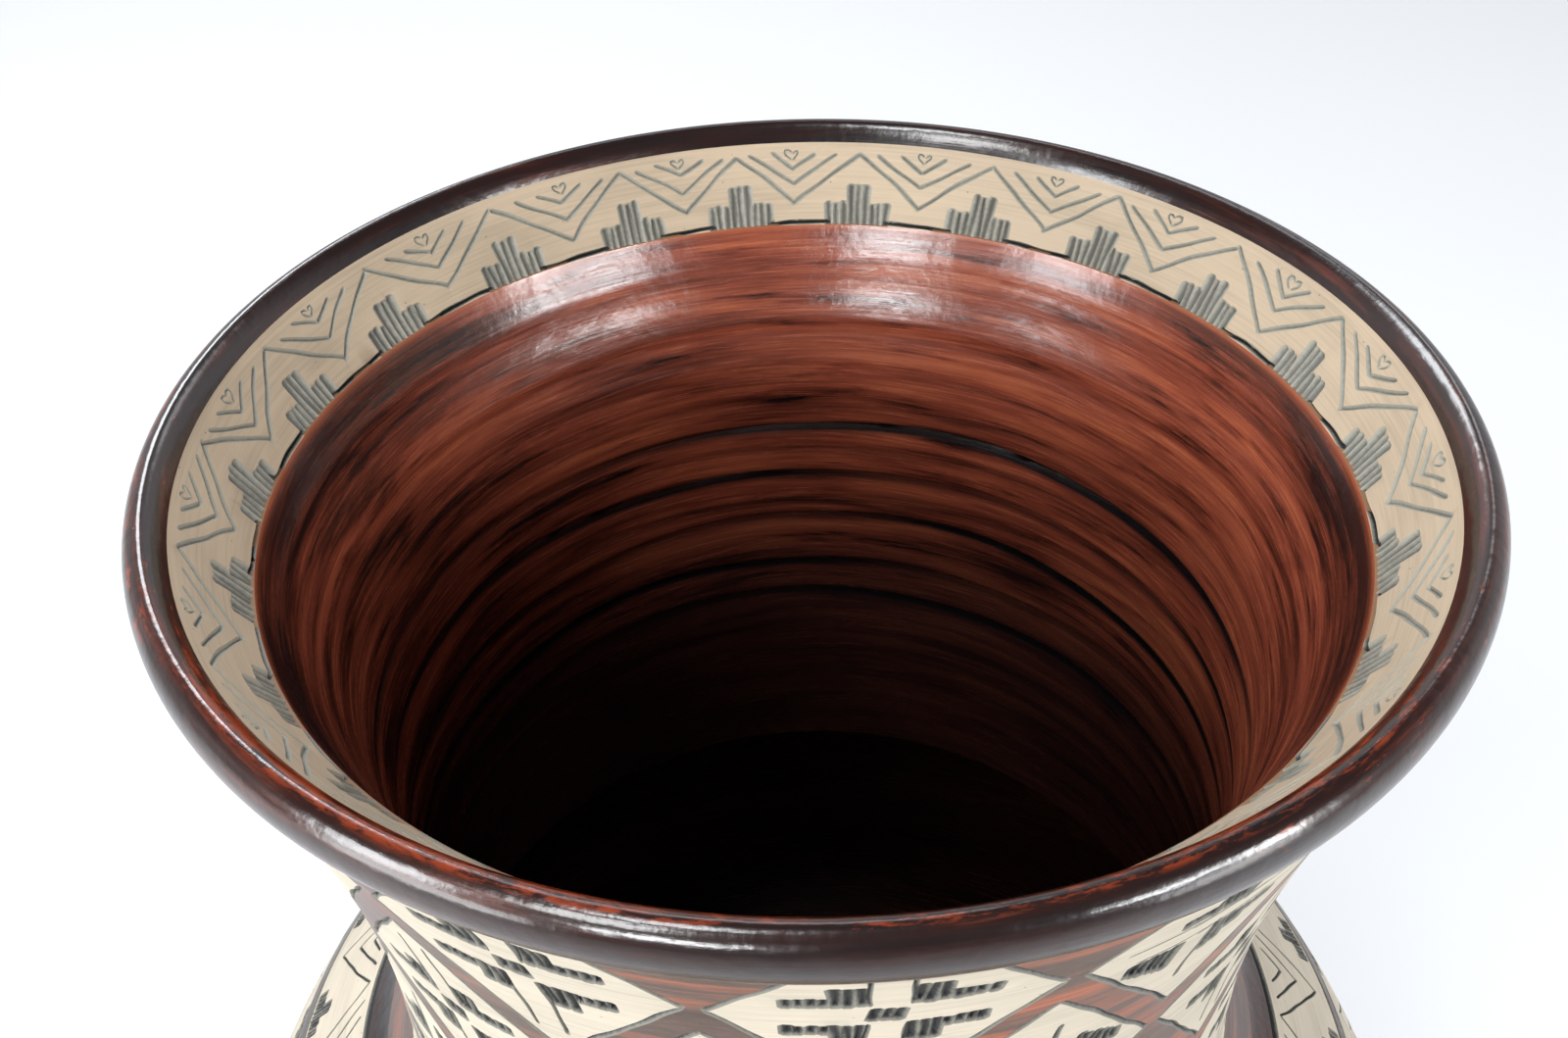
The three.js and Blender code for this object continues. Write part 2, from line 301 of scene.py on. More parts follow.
class Clay:
    """The faces of one clay piece while it is put together, in millimetres."""

    def __init__(self):
        self.places, self.cuts, self.faces, self.finishes = [], [], [], []

    def add(self, places, cuts):
        """Adds points and gives their numbers."""
        start = len(self.places)
        self.places.extend(map(tuple, places))
        self.cuts.extend(cuts)
        return range(start, len(self.places))

    def face(self, finish, *corners):
        """Adds one face, unless two of its corners are one point."""
        if len(set(corners)) == len(corners):
            self.faces.append(corners)
            self.finishes.append(finish)

    def ring(self, radius, height, columns=240):
        """A round row of points, as pairs of angle and number."""
        angles = np.arange(columns) * TURN / columns
        places = [(radius * math.cos(a), radius * math.sin(a), height) for a in angles]
        return list(zip(angles, self.add(places, [0.0] * columns)))

    def join(self, first, second, finish):
        """Closes the strip between two rings, whatever their numbers of points."""
        a = [*first, (first[0][0] + TURN, first[0][1])]
        b = [*second, (second[0][0] + TURN, second[0][1])]
        i = j = 0
        while i < len(a) - 1 or j < len(b) - 1:
            if j == len(b) - 1 or (i < len(a) - 1 and a[i + 1][0] <= b[j + 1][0]):
                self.face(finish, a[i][1], a[i + 1][1], b[j][1])
                i += 1
            else:
                self.face(finish, a[i][1], b[j + 1][1], b[j][1])
                j += 1

    def profile(self, start, points, finish, columns=240):
        """Turns a run of (radius, height) points on from a ring, and gives the last ring."""
        for radius, height in points:
            following = self.ring(radius, height, columns)
            self.join(start, following, finish)
            start = following
        return start

    def cap(self, ring, height, finish):
        """Closes a ring with a point on the axis."""
        (middle,) = self.add([(0, 0, height)], [0.0])
        for (_, a), (_, b) in zip(ring, ring[1:] + ring[:1]):
            self.face(finish, a, b, middle)

    def grid(self, radii, levels, cuts, finish):
        """A face thrown by hand: radius, height and cut for each row and column."""
        rows, columns = radii.shape
        angles = np.arange(columns) * TURN / columns
        x, y = radii * np.cos(angles), radii * np.sin(angles)
        places = np.stack([x, y, levels], axis=2).reshape(-1, 3)
        numbers = np.array(self.add(places, cuts.reshape(-1).tolist())).reshape(rows, columns)
        for upper, lower in zip(numbers[:-1].tolist(), numbers[1:].tolist()):
            for c in range(columns):
                d = (c + 1) % columns
                self.face(finish, upper[c], upper[d], lower[d], lower[c])
        return list(zip(angles, numbers[0])), list(zip(angles, numbers[-1]))


class Sheet:
    """A turned face unrolled flat with all that is cut into it: u round the pot, v down its slope."""

    # Columns round the pot, and how many more run past the seam; in millimetres, the margin past the seam
    # where cuts count, the spacing of plain points, the least depth that is a cut, and a line's run-in; and
    # the share of its width that the end of a line has
    COLUMNS = 240
    OVERRUN = 3
    EDGE = 12.0
    BACKGROUND = 5.0
    SURFACE = 0.04
    RUN_IN = 0.8
    NARROW_END = 0.45

    def __init__(self, profile, faces_axis, seed):
        points = np.array(profile, float)
        self.slope = np.concatenate([[0], np.cumsum(np.hypot(*np.diff(points, axis=0).T))])
        self.points = points
        along = np.gradient(points, self.slope, axis=0)
        along /= np.hypot(*along.T)[:, None]
        side = 1 if faces_axis else -1
        self.normals = np.stack([along[:, 1], -along[:, 0]], axis=1) * side
        self.length = self.slope[-1]
        self.radius = np.interp(self.length / 2, self.slope, points[:, 0])
        self.round = TURN * self.radius
        self.random = random.Random(seed)
        self.chains, self.cuts = [], []
        self.splits = []

    def slope_at(self, height):
        """How far down the slope a height is."""
        order = np.argsort(self.points[:, 1])
        return float(np.interp(height, self.points[order, 1], self.slope[order]))

    def around(self, degrees):
        """Where a direction falls on the unrolled face."""
        return math.radians(degrees) * self.radius

    def line(self, points, width, depth, step=2.3):
        """A line cut by hand: it wavers, and it starts and ends shallow and narrow."""
        sizes = bpy.context.scene.vase_sizes
        points = np.array(points, float)
        lengths = np.concatenate([[0], np.cumsum(np.hypot(*np.diff(points, axis=0).T))])
        total, run_in = lengths[-1], min(self.RUN_IN, lengths[-1] / 4)
        count = max(1, round((total - 2 * run_in) / step))
        at = np.concatenate([[0], np.linspace(run_in, total - run_in, count + 1), [total]])
        centre = np.stack([np.interp(at, lengths, points[:, k]) for k in (0, 1)], axis=1)
        along = np.gradient(centre, at, axis=0)
        along /= np.maximum(np.hypot(*along.T)[:, None], 1e-9)
        across = np.stack([-along[:, 1], along[:, 0]], axis=1)
        phase, second = self.random.uniform(0, TURN), self.random.uniform(0, TURN)
        stray = sizes.waver / MM * (np.sin(at / 5 + phase) + 0.5 * np.sin(at / 2.1 + second))
        centre = centre + across * stray[:, None]
        half = width / 2 * (1 + 0.12 * np.sin(at / 3.1 + second))
        half[[0, -1]] *= self.NARROW_END
        deep = depth * (1 + 0.1 * np.sin(at / 4.3 + phase))
        deep[[0, -1]] = 0
        left, right = centre + across * half[:, None], centre - across * half[:, None]
        self.chains += [centre, np.vstack([left, right[::-1], left[:1]])]
        self.cuts.append((centre, half, deep))

    def turned_line(self, v, width, depth, waver=0.3):
        """A line cut all the way round while the pot turns on the wheel."""
        at = np.linspace(0, self.round, self.COLUMNS + 1)
        angle = at / self.radius
        phase = self.random.uniform(0, TURN)
        middle = v + waver * (np.sin(2 * angle + phase) + 0.5 * np.sin(7 * angle + 2 * phase))
        centre = np.stack([at, middle], axis=1)
        half = np.full(len(at), width / 2)
        self.chains += [centre, centre + (0, width / 2), centre - (0, width / 2)]
        self.cuts.append((centre, half, np.full(len(at), depth)))

    def gouges(self, origin, columns, flip=1, pitch=None):
        """Gouges side by side, each (first, last) down the slope, with sharp ridges left between them."""
        sizes = bpy.context.scene.vase_sizes
        pitch = pitch or sizes.gouge_pitch / MM
        depth = sizes.gouge_depth / MM
        left = origin[0] - pitch * (len(columns) - 1) / 2
        for i, (first, last) in enumerate(columns):
            u = left + pitch * i
            lean = self.random.uniform(-0.22, 0.22)
            ends = sorted((origin[1] + flip * (first + self.random.uniform(-0.45, 0.45)),
                           origin[1] + flip * (last + self.random.uniform(-0.25, 0.25))))
            points = [(u - lean, ends[0]), (u + lean, ends[1])]
            self.line(points, pitch * 1.42, depth * self.random.uniform(0.85, 1.1), step=3.2)
            if i:
                middle = u - pitch / 2
                before = [origin[1] + flip * b for b in columns[i - 1]]
                low = max(min(before), ends[0]) + 0.5
                high = min(max(before), ends[1]) - 0.5
                if high > low:
                    self.chains.append(np.array([(middle, low), (middle, high)]))

    def flat_mesh(self):
        """Triangles of the unrolled face, which follow every cut, and the depth at each corner."""
        wide, long = self.round, self.length
        run = np.arange(-self.OVERRUN, self.COLUMNS + self.OVERRUN + 1) * (wide / self.COLUMNS)
        rows = np.linspace(0, long, max(2, round(long / 4)) + 1)
        chains = [np.stack([run, np.full(len(run), v)], 1) for v in (0, long, *self.splits)]
        chains += [np.stack([np.full(len(rows), u), rows], 1) for u in (0, wide)]
        for chain in self.chains:
            for shift in (-wide, 0, wide):
                moved = chain + (shift, 0)
                if moved[:, 0].max() > -self.EDGE and moved[:, 0].min() < wide + self.EDGE:
                    chains.append(moved)
        edges, start = [], 0
        for chain in chains:
            edges += [(start + i, start + i + 1) for i in range(len(chain) - 1)]
            start += len(chain)
        nudge = self.random.uniform
        gaps = (round(wide / self.BACKGROUND), round(long / self.BACKGROUND))
        background = [((i + 0.5 + nudge(-0.3, 0.3)) * wide / gaps[0],
                       (j + 0.5 + nudge(-0.3, 0.3)) * long / gaps[1])
                      for i in range(gaps[0]) for j in range(gaps[1])]
        corners = np.vstack([*chains, background])
        made, _, triangles, *_ = delaunay_2d_cdt([Vector(p) for p in corners], edges, [], 0, 1e-3, False)
        flat = np.array([tuple(p) for p in made])
        triangles = np.array(triangles)
        middle = flat[triangles].mean(axis=1)
        keep = (middle[:, 0] > 0) & (middle[:, 0] < wide) & (middle[:, 1] > 0) & (middle[:, 1] < long)
        return flat, triangles[keep], self.depths(flat)

    def depths(self, flat):
        """How deep the tool went at each point."""
        depth = np.zeros(len(flat))
        order = np.argsort(flat[:, 0])
        across = flat[order, 0]
        for centre, half, deep in self.cuts:
            reach = half.max()
            for shift in (-self.round, 0, self.round):
                moved = centre + (shift, 0)
                low, high = moved.min(axis=0) - reach, moved.max(axis=0) + reach
                near = order[np.searchsorted(across, low[0]) : np.searchsorted(across, high[0])]
                near = near[(flat[near, 1] > low[1]) & (flat[near, 1] < high[1])]
                if not len(near):
                    continue
                nearest = np.full(len(near), reach)
                down = np.zeros(len(near))
                for i in range(len(moved) - 1):
                    a, b = moved[i], moved[i + 1]
                    span = b - a
                    t = np.clip((flat[near] - a) @ span / max(span @ span, 1e-12), 0, 1)
                    off = np.hypot(*(flat[near] - a - t[:, None] * span).T)
                    wide = half[i] + t * (half[i + 1] - half[i])
                    here = (deep[i] + t * (deep[i + 1] - deep[i])) * np.maximum(1 - off / wide, 0)
                    down = np.where(off < nearest, here, down)
                    nearest = np.minimum(nearest, off)
                depth[near] = np.maximum(depth[near], down)
        depth[depth < self.SURFACE] = 0
        return depth

    def cut(self, finish_at, cut_finish_at=lambda u, v: CUT):
        """Cuts the face and rolls it back round the pot; its parts are then taken piece by piece."""
        flat, triangles, depth = self.flat_mesh()
        radius, height, side_r, side_z = (
            np.interp(flat[:, 1], self.slope, column)
            for column in (*self.points.T, *self.normals.T))
        radius, height = radius - side_r * depth, height - side_z * depth
        angle = flat[:, 0] / self.radius
        self.flat, self.depth = flat, depth
        self.solid = np.stack([radius * np.cos(angle), radius * np.sin(angle), height], axis=1)
        middle = flat[triangles].mean(axis=1)
        is_cut = depth[triangles].max(axis=1) > 0
        self.finish = np.where(is_cut, cut_finish_at(*middle.T), finish_at(*middle.T))
        self.triangles, self.middle = self.close_seam(triangles), middle
        return self

    def close_seam(self, triangles):
        """Uses the points where the unrolled face starts also where it ends."""
        inside = (self.flat[:, 1] > -0.01) & (self.flat[:, 1] < self.length + 0.01)
        first = np.flatnonzero(inside & (abs(self.flat[:, 0]) < 0.01))
        last = np.flatnonzero(inside & (abs(self.flat[:, 0] - self.round) < 0.01))
        same = np.arange(len(self.flat))
        for point in last:
            gap = abs(self.flat[first, 1] - self.flat[point, 1])
            if gap.min() < 0.05:
                same[point] = first[gap.argmin()]
        return same[triangles]

    def part(self, clay, start, end):
        """Adds what lies between two slopes to a piece of clay, and gives the rings at both."""
        chosen = (self.middle[:, 1] > start) & (self.middle[:, 1] < end)
        triangles, finishes = self.triangles[chosen], self.finish[chosen]
        used = np.unique(triangles)
        numbers = np.zeros(len(self.flat), int)
        numbers[used] = clay.add(self.solid[used], self.depth[used].tolist())
        for corners, finish in zip(numbers[triangles].tolist(), finishes.tolist()):
            clay.face(finish, *corners)
        rings = []
        for v in (start, end):
            on = used[abs(self.flat[used, 1] - v) < 0.01]
            on = on[np.argsort(self.flat[on, 0])]
            rings.append([(self.flat[p, 0] / self.radius, int(numbers[p])) for p in on])
        return rings


def thrown_by_hand(places):
    """Leans every point a little towards the axis, as a wall that isn't quite round, and dips the rim."""
    limit = bpy.context.scene.vase_sizes.out_of_round / MM
    x, y, z = places.T
    angle, radius = np.arctan2(y, x), np.hypot(x, y)
    swing = np.sin(2 * angle + z / 130) + 0.6 * np.sin(3 * angle - z / 90 + 1.3) + 0.4 * np.sin(5 * angle + 4)
    pull = limit * (2 + swing) / 4 * np.clip(radius / 60, 0, 1)
    dip = 0.35 * (1 + np.sin(2 * angle + 0.8)) * np.clip((z - COLLAR_SEAM) / 20, 0, 1)
    scale = np.where(radius > 0, 1 - pull / np.maximum(radius, 1), 1)
    return np.stack([x * scale, y * scale, z - dip], axis=1)


def fire(clay, name, node, crease=32):
    """Makes the finished clay a mesh object in place of its plain node."""
    places = thrown_by_hand(np.array(clay.places, float)) * MM
    mesh = bpy.data.meshes.new(name)
    mesh.from_pydata(places.tolist(), [], clay.faces)
    used = sorted(set(clay.finishes))
    for finish in used:
        mesh.materials.append(finish_material(finish))
    mesh.polygons.foreach_set("material_index", [used.index(f) for f in clay.finishes])
    cut = mesh.attributes.new("cut", "FLOAT", "POINT")
    cut.data.foreach_set("value", clay.cuts)
    work = bmesh.new()
    work.from_mesh(mesh)
    bmesh.ops.remove_doubles(work, verts=work.verts, dist=0.012 * MM)
    loose = [v for v in work.verts if not v.link_faces]
    bmesh.ops.delete(work, geom=loose, context="VERTS")
    bmesh.ops.recalc_face_normals(work, faces=work.faces)
    work.to_mesh(mesh)
    work.free()
    mesh.shade_smooth()
    mesh.set_sharp_from_angle(angle=math.radians(crease))
    piece = bpy.data.objects.new(name, mesh)
    bpy.context.collection.objects.link(piece)
    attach(piece, "root")
    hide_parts(node)
    return piece


def add(tree, kind, settings=None, inputs=None, stops=None):
    """Adds one shader node, with its settings, its inputs set or linked, and its colour stops, ends first."""
    made = tree.nodes.new("ShaderNode" + kind)
    for name, value in (settings or {}).items():
        setattr(made, name, value)
    for name, value in (inputs or {}).items():
        if isinstance(value, bpy.types.NodeSocket):
            tree.links.new(value, made.inputs[name])
        else:
            made.inputs[name].default_value = value
    for i, (position, shade) in enumerate(stops or []):
        elements = made.color_ramp.elements
        element = elements[i] if i < 2 else elements.new(position)
        element.position, element.color = position, (*shade, 1)
    return made


def grey(value):
    """A neutral shade for a colour stop that carries a number."""
    return (value, value, value)


def dimmed(shade, share):
    """A colour with each of its parts times a share."""
    return tuple(min(1, part * share) for part in shade)


def new_material(name):
    """An empty material with its node tree and its shader."""
    material = bpy.data.materials.new(name)
    material.use_nodes = True
    tree = material.node_tree
    tree.nodes.clear()
    shader = add(tree, "BsdfPrincipled")
    add(tree, "OutputMaterial", inputs={"Surface": shader.outputs["BSDF"]})
    return material, tree, shader


def place_on_pot(tree):
    """Where a point of the pot lies: its place, that in parts X, Y and Z, and its distance from the axis."""
    place = add(tree, "TexCoord").outputs["Object"]
    parts = add(tree, "SeparateXYZ", inputs={0: place}).outputs
    flat = add(tree, "CombineXYZ", inputs={"X": parts["X"], "Y": parts["Y"]})
    out = add(tree, "VectorMath", {"operation": "LENGTH"}, {0: flat.outputs[0]})
    return place, parts, out.outputs["Value"]


def zone(tree, *limits):
    """A region of the pot, as 0 to 1: each limit is a value and where it starts and ends, in millimetres."""
    reached = [add(tree, "MapRange", {"interpolation_type": "SMOOTHSTEP"},
                   {"Value": value, "From Min": start * MM, "From Max": end * MM}).outputs["Result"]
               for value, start, end in limits]
    inside = reached[0]
    for other in reached[1:]:
        inside = add(tree, "Math", {"operation": "MULTIPLY"}, {0: inside, 1: other}).outputs[0]
    return inside


def wheel_marks(tree, length, width, waver=4.0, detail=3.0, roughness=0.55):
    """Noise drawn out round the pot: marks of a length and width in millimetres, as brush and wheel leave."""
    place, parts, out = place_on_pot(tree)
    drift = add(tree, "TexNoise", inputs={"Vector": place, "Scale": DRIFT, "Detail": 1.0})
    level = add(tree, "Math", {"operation": "MULTIPLY_ADD"},
                {0: drift.outputs["Fac"], 1: waver * MM, 2: parts["Z"]}).outputs[0]
    scaled = [add(tree, "Math", {"operation": "MULTIPLY"}, {0: value, 1: 1 / (long * MM)}).outputs[0]
              for value, long in ((parts["X"], length), (parts["Y"], length), (level, width), (out, width))]
    where = add(tree, "CombineXYZ", inputs=dict(zip("XYZ", scaled)))
    noise = add(tree, "TexNoise", {"noise_dimensions": "4D"},
                {"Vector": where.outputs[0], "W": scaled[3], "Scale": 1.0, "Detail": detail,
                 "Roughness": roughness})
    return noise.outputs["Fac"]


def specks(tree, spacing, size):
    """Small round marks, as numbers from 0 to 1: pits, grit and flecks this far apart, in millimetres."""
    place = add(tree, "TexCoord").outputs["Object"]
    cells = add(tree, "TexVoronoi", inputs={"Vector": place, "Scale": 1 / (spacing * MM)})
    edge = size / spacing / 2
    return add(tree, "MapRange", {"interpolation_type": "SMOOTHSTEP"},
               {"Value": cells.outputs["Distance"], "From Min": edge * 0.4, "From Max": edge,
                "To Min": 1.0, "To Max": 0.0}).outputs["Result"]


def coat_of_slip(tree, streak, lit_side_paint):
    """Finest streaks, and how thin the coat lies: streaks of three sizes, and painted light paling the lit
    side.
    """
    place = add(tree, "TexCoord").outputs["Object"]
    fine = wheel_marks(tree, *streak, waver=9, detail=8, roughness=0.78)
    middle = wheel_marks(tree, 70, 4.2, waver=10, detail=3, roughness=0.6)
    broad = wheel_marks(tree, 60, 12, waver=14, detail=2)
    lesser = add(tree, "Mix", {"data_type": "FLOAT"}, {"Factor": 0.4, "A": middle, "B": broad})
    both = add(tree, "Mix", {"data_type": "FLOAT"},
               {"Factor": 0.66, "A": fine, "B": lesser.outputs[0]})
    side = add(tree, "VectorMath", {"operation": "DOT_PRODUCT"}, {0: place, 1: PAINTED_LIT_SIDE})
    coat = add(tree, "Math", {"operation": "MULTIPLY_ADD"},
               {0: side.outputs["Value"], 1: lit_side_paint, 2: both.outputs[0]})
    return fine, coat.outputs[0]


def thick_slip_and_throat_shade(tree):
    """Painted shade down the throat, and thick slip inside: smears, and patches under the mouth at both
    sides.
    """
    place = add(tree, "TexCoord").outputs["Object"]
    parts = add(tree, "SeparateXYZ", inputs={0: place}).outputs
    aside = add(tree, "Math", {"operation": "ABSOLUTE"}, {0: parts["X"]}).outputs[0]
    sides = zone(tree, (aside, *SIDE_SHADE_OUT), (parts["Z"], *SIDE_SHADE_UP))
    marks = wheel_marks(tree, 46, 4.5, waver=14, detail=6, roughness=0.68)
    smears = add(tree, "MapRange", {"interpolation_type": "SMOOTHSTEP"},
                 {"Value": marks, "From Min": 0.52, "From Max": 0.72, "To Max": SMEAR_STRENGTH})
    patches = add(tree, "Math", {"operation": "MULTIPLY_ADD"},
                  {0: sides, 1: SIDE_STRENGTH, 2: smears.outputs["Result"]})
    return zone(tree, (parts["Z"], *PAINTED_THROAT_SHADE)), patches.outputs[0]


def layers_inside(tree, throat, wiped_shade):
    """Shades over the slip inside: painted shade down the throat and under the rings, and the neck's wiped
    edge.
    """
    cut = add(tree, "Attribute", {"attribute_name": "cut"}).outputs["Fac"]
    layers = []
    for value, share, shade in ((throat, PAINTED_THROAT_SHADE_STRENGTH, linear(PAINTED_THROAT_SHADE_COLOUR)),
                                (cut, 0.97, linear(PAINTED_RING_SHADE_COLOUR)), (cut, -1.0, wiped_shade)):
        factor = add(tree, "Math", {"operation": "MULTIPLY", "use_clamp": True}, {0: value, 1: share})
        layers.append((factor.outputs[0], shade))
    return layers


def burnished(name, shades, streak, gloss, ior, lit_side_paint=0.0, inside=False, worn=None):
    """Slip rubbed with a stone until it shines: streaks of thick and thin slip that follow the wheel."""
    material, tree, shader = new_material(name)
    place = add(tree, "TexCoord").outputs["Object"]
    fine, coat = coat_of_slip(tree, streak, lit_side_paint)
    layers = []
    # Inside the neck, painted shade darkens the throat and the ledges under the rings
    if inside:
        throat, patches = thick_slip_and_throat_shade(tree)
        coat = add(tree, "Math", {"operation": "SUBTRACT"}, {0: coat, 1: patches}).outputs[0]
        layers += layers_inside(tree, throat, shades[1][1])
    if worn:
        layers.append((edge_wear(tree), worn))
    layers.append((specks(tree, 21, 0.9), linear(CHIP)))
    tone = add(tree, "ValToRGB", inputs={"Fac": coat}, stops=shades).outputs["Color"]
    for factor, shade in layers:
        tone = add(tree, "Mix", {"data_type": "RGBA"},
                   {"Factor": factor, "A": tone, "B": (*shade, 1)}).outputs["Result"]
    sheen = add(tree, "MapRange", inputs={"Value": fine, "From Min": 0.3, "From Max": 0.7,
                                          "To Min": gloss[0], "To Max": gloss[1]})
    lumps = add(tree, "TexNoise", inputs={"Vector": place, "Scale": DENTS, "Detail": 4.0})
    dented = add(tree, "Bump", inputs={"Height": lumps.outputs["Fac"], "Strength": 0.35,
                                                 "Distance": 0.6 * MM})
    marks = wheel_marks(tree, 48, 0.8, detail=4)
    bump = add(tree, "Bump", inputs={"Height": marks, "Strength": 0.25, "Distance": 0.12 * MM,
                                               "Normal": dented.outputs["Normal"]})
    for socket, value in (("Base Color", tone), ("Roughness", sheen.outputs["Result"]),
                          ("Normal", bump.outputs["Normal"])):
        tree.links.new(value, shader.inputs[socket])
    shader.inputs["IOR"].default_value = ior
    return material


def edge_wear(tree):
    """Where hands have rubbed the lip thin: stretches of its inner edge and its outer shoulder, as 0 to 1."""
    _, parts, out = place_on_pot(tree)
    heading = add(tree, "Math", {"operation": "ARCTAN2"}, {0: parts["Y"], 1: parts["X"]})
    turn = add(tree, "Math", {"operation": "MULTIPLY_ADD"},
               {0: heading.outputs[0], 1: 1 / TURN, 2: 0.5}).outputs[0]
    inner = zone(tree, (out, CROWN_RADIUS + 1.6, CROWN_RADIUS), (parts["Z"], LIP_SEAM + 0.3, LIP_SEAM + 1))
    outer = zone(tree, (out, CROWN_RADIUS + 0.8, CROWN_RADIUS + 2),
                 (parts["Z"], BEAD_HEIGHT, BEAD_HEIGHT + 1.5))
    worn = []
    for edge, wear, length, width in ((inner, INNER_WEAR, 9, 1.7), (outer, OUTER_WEAR, 12, 2.2)):
        rubbed = add(tree, "ValToRGB", inputs={"Fac": turn},
                     stops=[(degrees / 360, grey(amount)) for degrees, amount in wear]).outputs["Color"]
        marks = wheel_marks(tree, length, width, detail=6, roughness=0.75)
        both = add(tree, "Math", {"operation": "ADD"}, {0: marks, 1: rubbed}).outputs[0]
        shown = add(tree, "Math", {"operation": "MULTIPLY_ADD", "use_clamp": True},
                    {0: both, 1: WEAR_GAIN, 2: WEAR_OFFSET}).outputs[0]
        worn.append(add(tree, "Math", {"operation": "MULTIPLY"}, {0: edge, 1: shown}).outputs[0])
    return add(tree, "Math", {"operation": "MAXIMUM"}, dict(enumerate(worn))).outputs[0]


def matt_slip(name, shade, line_width):
    """Dry slip brushed on in thin coats: chalky, with fine brush lines and a little clay showing through."""
    material, tree, shader = new_material(name)
    fine = wheel_marks(tree, 30, line_width, detail=4)
    broad = wheel_marks(tree, 40, 14, detail=3)
    both = add(tree, "Mix", {"data_type": "FLOAT"}, {"Factor": 0.5, "A": fine, "B": broad})
    grit = specks(tree, 6, 0.7)
    tone = add(tree, "ValToRGB", inputs={"Fac": both.outputs[0]},
               stops=[(0.38, dimmed(shade, 0.84)), (0.62, dimmed(shade, 1.09)), (0.5, shade)])
    colour_out = add(tree, "Mix", {"data_type": "RGBA"},
                     {"Factor": grit, "A": tone.outputs["Color"], "B": (*dimmed(shade, 0.45), 1)})
    bump = add(tree, "Bump", inputs={"Height": fine, "Strength": 0.4, "Distance": 0.25 * MM})
    tree.links.new(colour_out.outputs["Result"], shader.inputs["Base Color"])
    tree.links.new(bump.outputs["Normal"], shader.inputs["Normal"])
    shader.inputs["Roughness"].default_value = 0.62
    shader.inputs["IOR"].default_value = 1.48
    return material


def cut_clay(name, ridge, valley, reach):
    """Clay bared by the tool and rubbed with pigment: pale ridges, with the pigment left in the valleys."""
    sizes = bpy.context.scene.vase_sizes
    material, tree, shader = new_material(name)
    cut = add(tree, "Attribute", {"attribute_name": "cut"}).outputs["Fac"]
    place = add(tree, "TexCoord").outputs["Object"]
    rough = add(tree, "TexNoise", inputs={"Vector": place, "Scale": GRIT, "Detail": 3.0}).outputs["Fac"]
    level = add(tree, "Math", {"operation": "MULTIPLY_ADD"}, {0: rough, 1: 0.5, 2: -0.25})
    depth = add(tree, "Math", {"operation": "MULTIPLY_ADD"},
                {0: cut, 1: MM / sizes.gouge_depth, 2: level.outputs[0]})
    middle = tuple((a + b) / 2 for a, b in zip(ridge, valley))
    tone = add(tree, "ValToRGB", inputs={"Fac": depth.outputs[0]},
               stops=[(reach[0], ridge), (reach[1], valley), (sum(reach) / 2, middle)])
    bump = add(tree, "Bump", inputs={"Height": rough, "Strength": 0.5, "Distance": 0.2 * MM})
    tree.links.new(tone.outputs["Color"], shader.inputs["Base Color"])
    tree.links.new(bump.outputs["Normal"], shader.inputs["Normal"])
    shader.inputs["Roughness"].default_value = 0.55
    return material


def finish_material(finish):
    """The material of a finish, made when it is first asked for."""
    tan, cream, red, orange, dark, umber, soot, ash, clay = (
        tuple(getattr(bpy.context.scene.vase_colours, name))
        for name in ("tan", "cream", "red_brown", "orange", "dark", "umber", "soot", "ash", "clay"))
    makers = {
        # Pale clay slip brushed on and left dry: chalky, with the brush's lines 0.7 mm apart
        TAN: ("brushed_tan_slip", lambda n: matt_slip(n, tan, 0.7)),
        # The same in cream, from a coarser brush
        CREAM: ("brushed_cream_slip", lambda n: matt_slip(n, cream, 0.8)),
        # Iron-rich slip, stone-burnished and waxed: it shines, black where thick and orange where thin;
        # inside the neck it carries painted shade down the throat and under the rings
        # Painted light: the slip is painted paler on the side that the key light falls on
        MAHOGANY: ("burnished_red_brown_slip", lambda n: burnished(
            n, [(0.375, dark), (0.61, orange), (0.44, dimmed(red, 0.4)), (0.515, red)],
            streak=(28, 0.8), gloss=(0.15, 0.33), ior=1.72, lit_side_paint=0.22, inside=True)),
        # The same slip polished less, over a pale ground: a dull grey-brown with orange streaks
        POLISHED: ("polished_grey_brown_slip", lambda n: burnished(
            n, [(0.4, dimmed(umber, 0.6)), (0.6, orange), (0.5, dimmed(umber, 1.1))],
            streak=(36, 1.8), gloss=(0.3, 0.45), ior=1.5)),
        # The thickest coat, handled most: glossy and near black, rubbed to orange on its edges
        LIP: ("burnished_lip_slip", lambda n: burnished(
            n, [(0.42, dark), (0.64, dimmed(red, 0.6)), (0.53, dimmed(red, 0.09))],
            streak=(45, 1.6), gloss=(0.15, 0.26), ior=1.78,
            worn=tuple(part * share for part, share in zip(orange, (0.72, 0.4, 0.22))))),
        # Bared clay rubbed with soot: dark to the tops of the ridges
        CUT: ("cut_clay_with_pigment", lambda n: cut_clay(
            n, dimmed(ash, 0.55), dimmed(soot, 0.45), reach=(0.16, 0.6))),
        # The same wiped clean again: pale ridges with soot only in the bottoms
        PALE_CUT: ("cut_clay_rubbed_clean", lambda n: cut_clay(
            n, ash, tuple(0.3 * a + 0.7 * b for a, b in zip(ash, soot)), reach=(0.24, 0.82))),
        # Fired clay with nothing on it: matt, with throwing lines 1.6 mm apart
        CLAY: ("bare_fired_clay", lambda n: matt_slip(n, clay, 1.6)),
    }
    name, make = makers[finish]
    return bpy.data.materials.get(name) or make(name)


def chevron_centres():
    """Directions of all the chevron points inside the mouth."""
    first, last = SEEN_CHEVRONS[0], SEEN_CHEVRONS[-1]
    hidden = MOUTH_REPEATS - len(SEEN_CHEVRONS)
    gap = (first + 360 - last) / (hidden + 1)
    return SEEN_CHEVRONS + [last + gap * (i + 1) for i in range(hidden)]


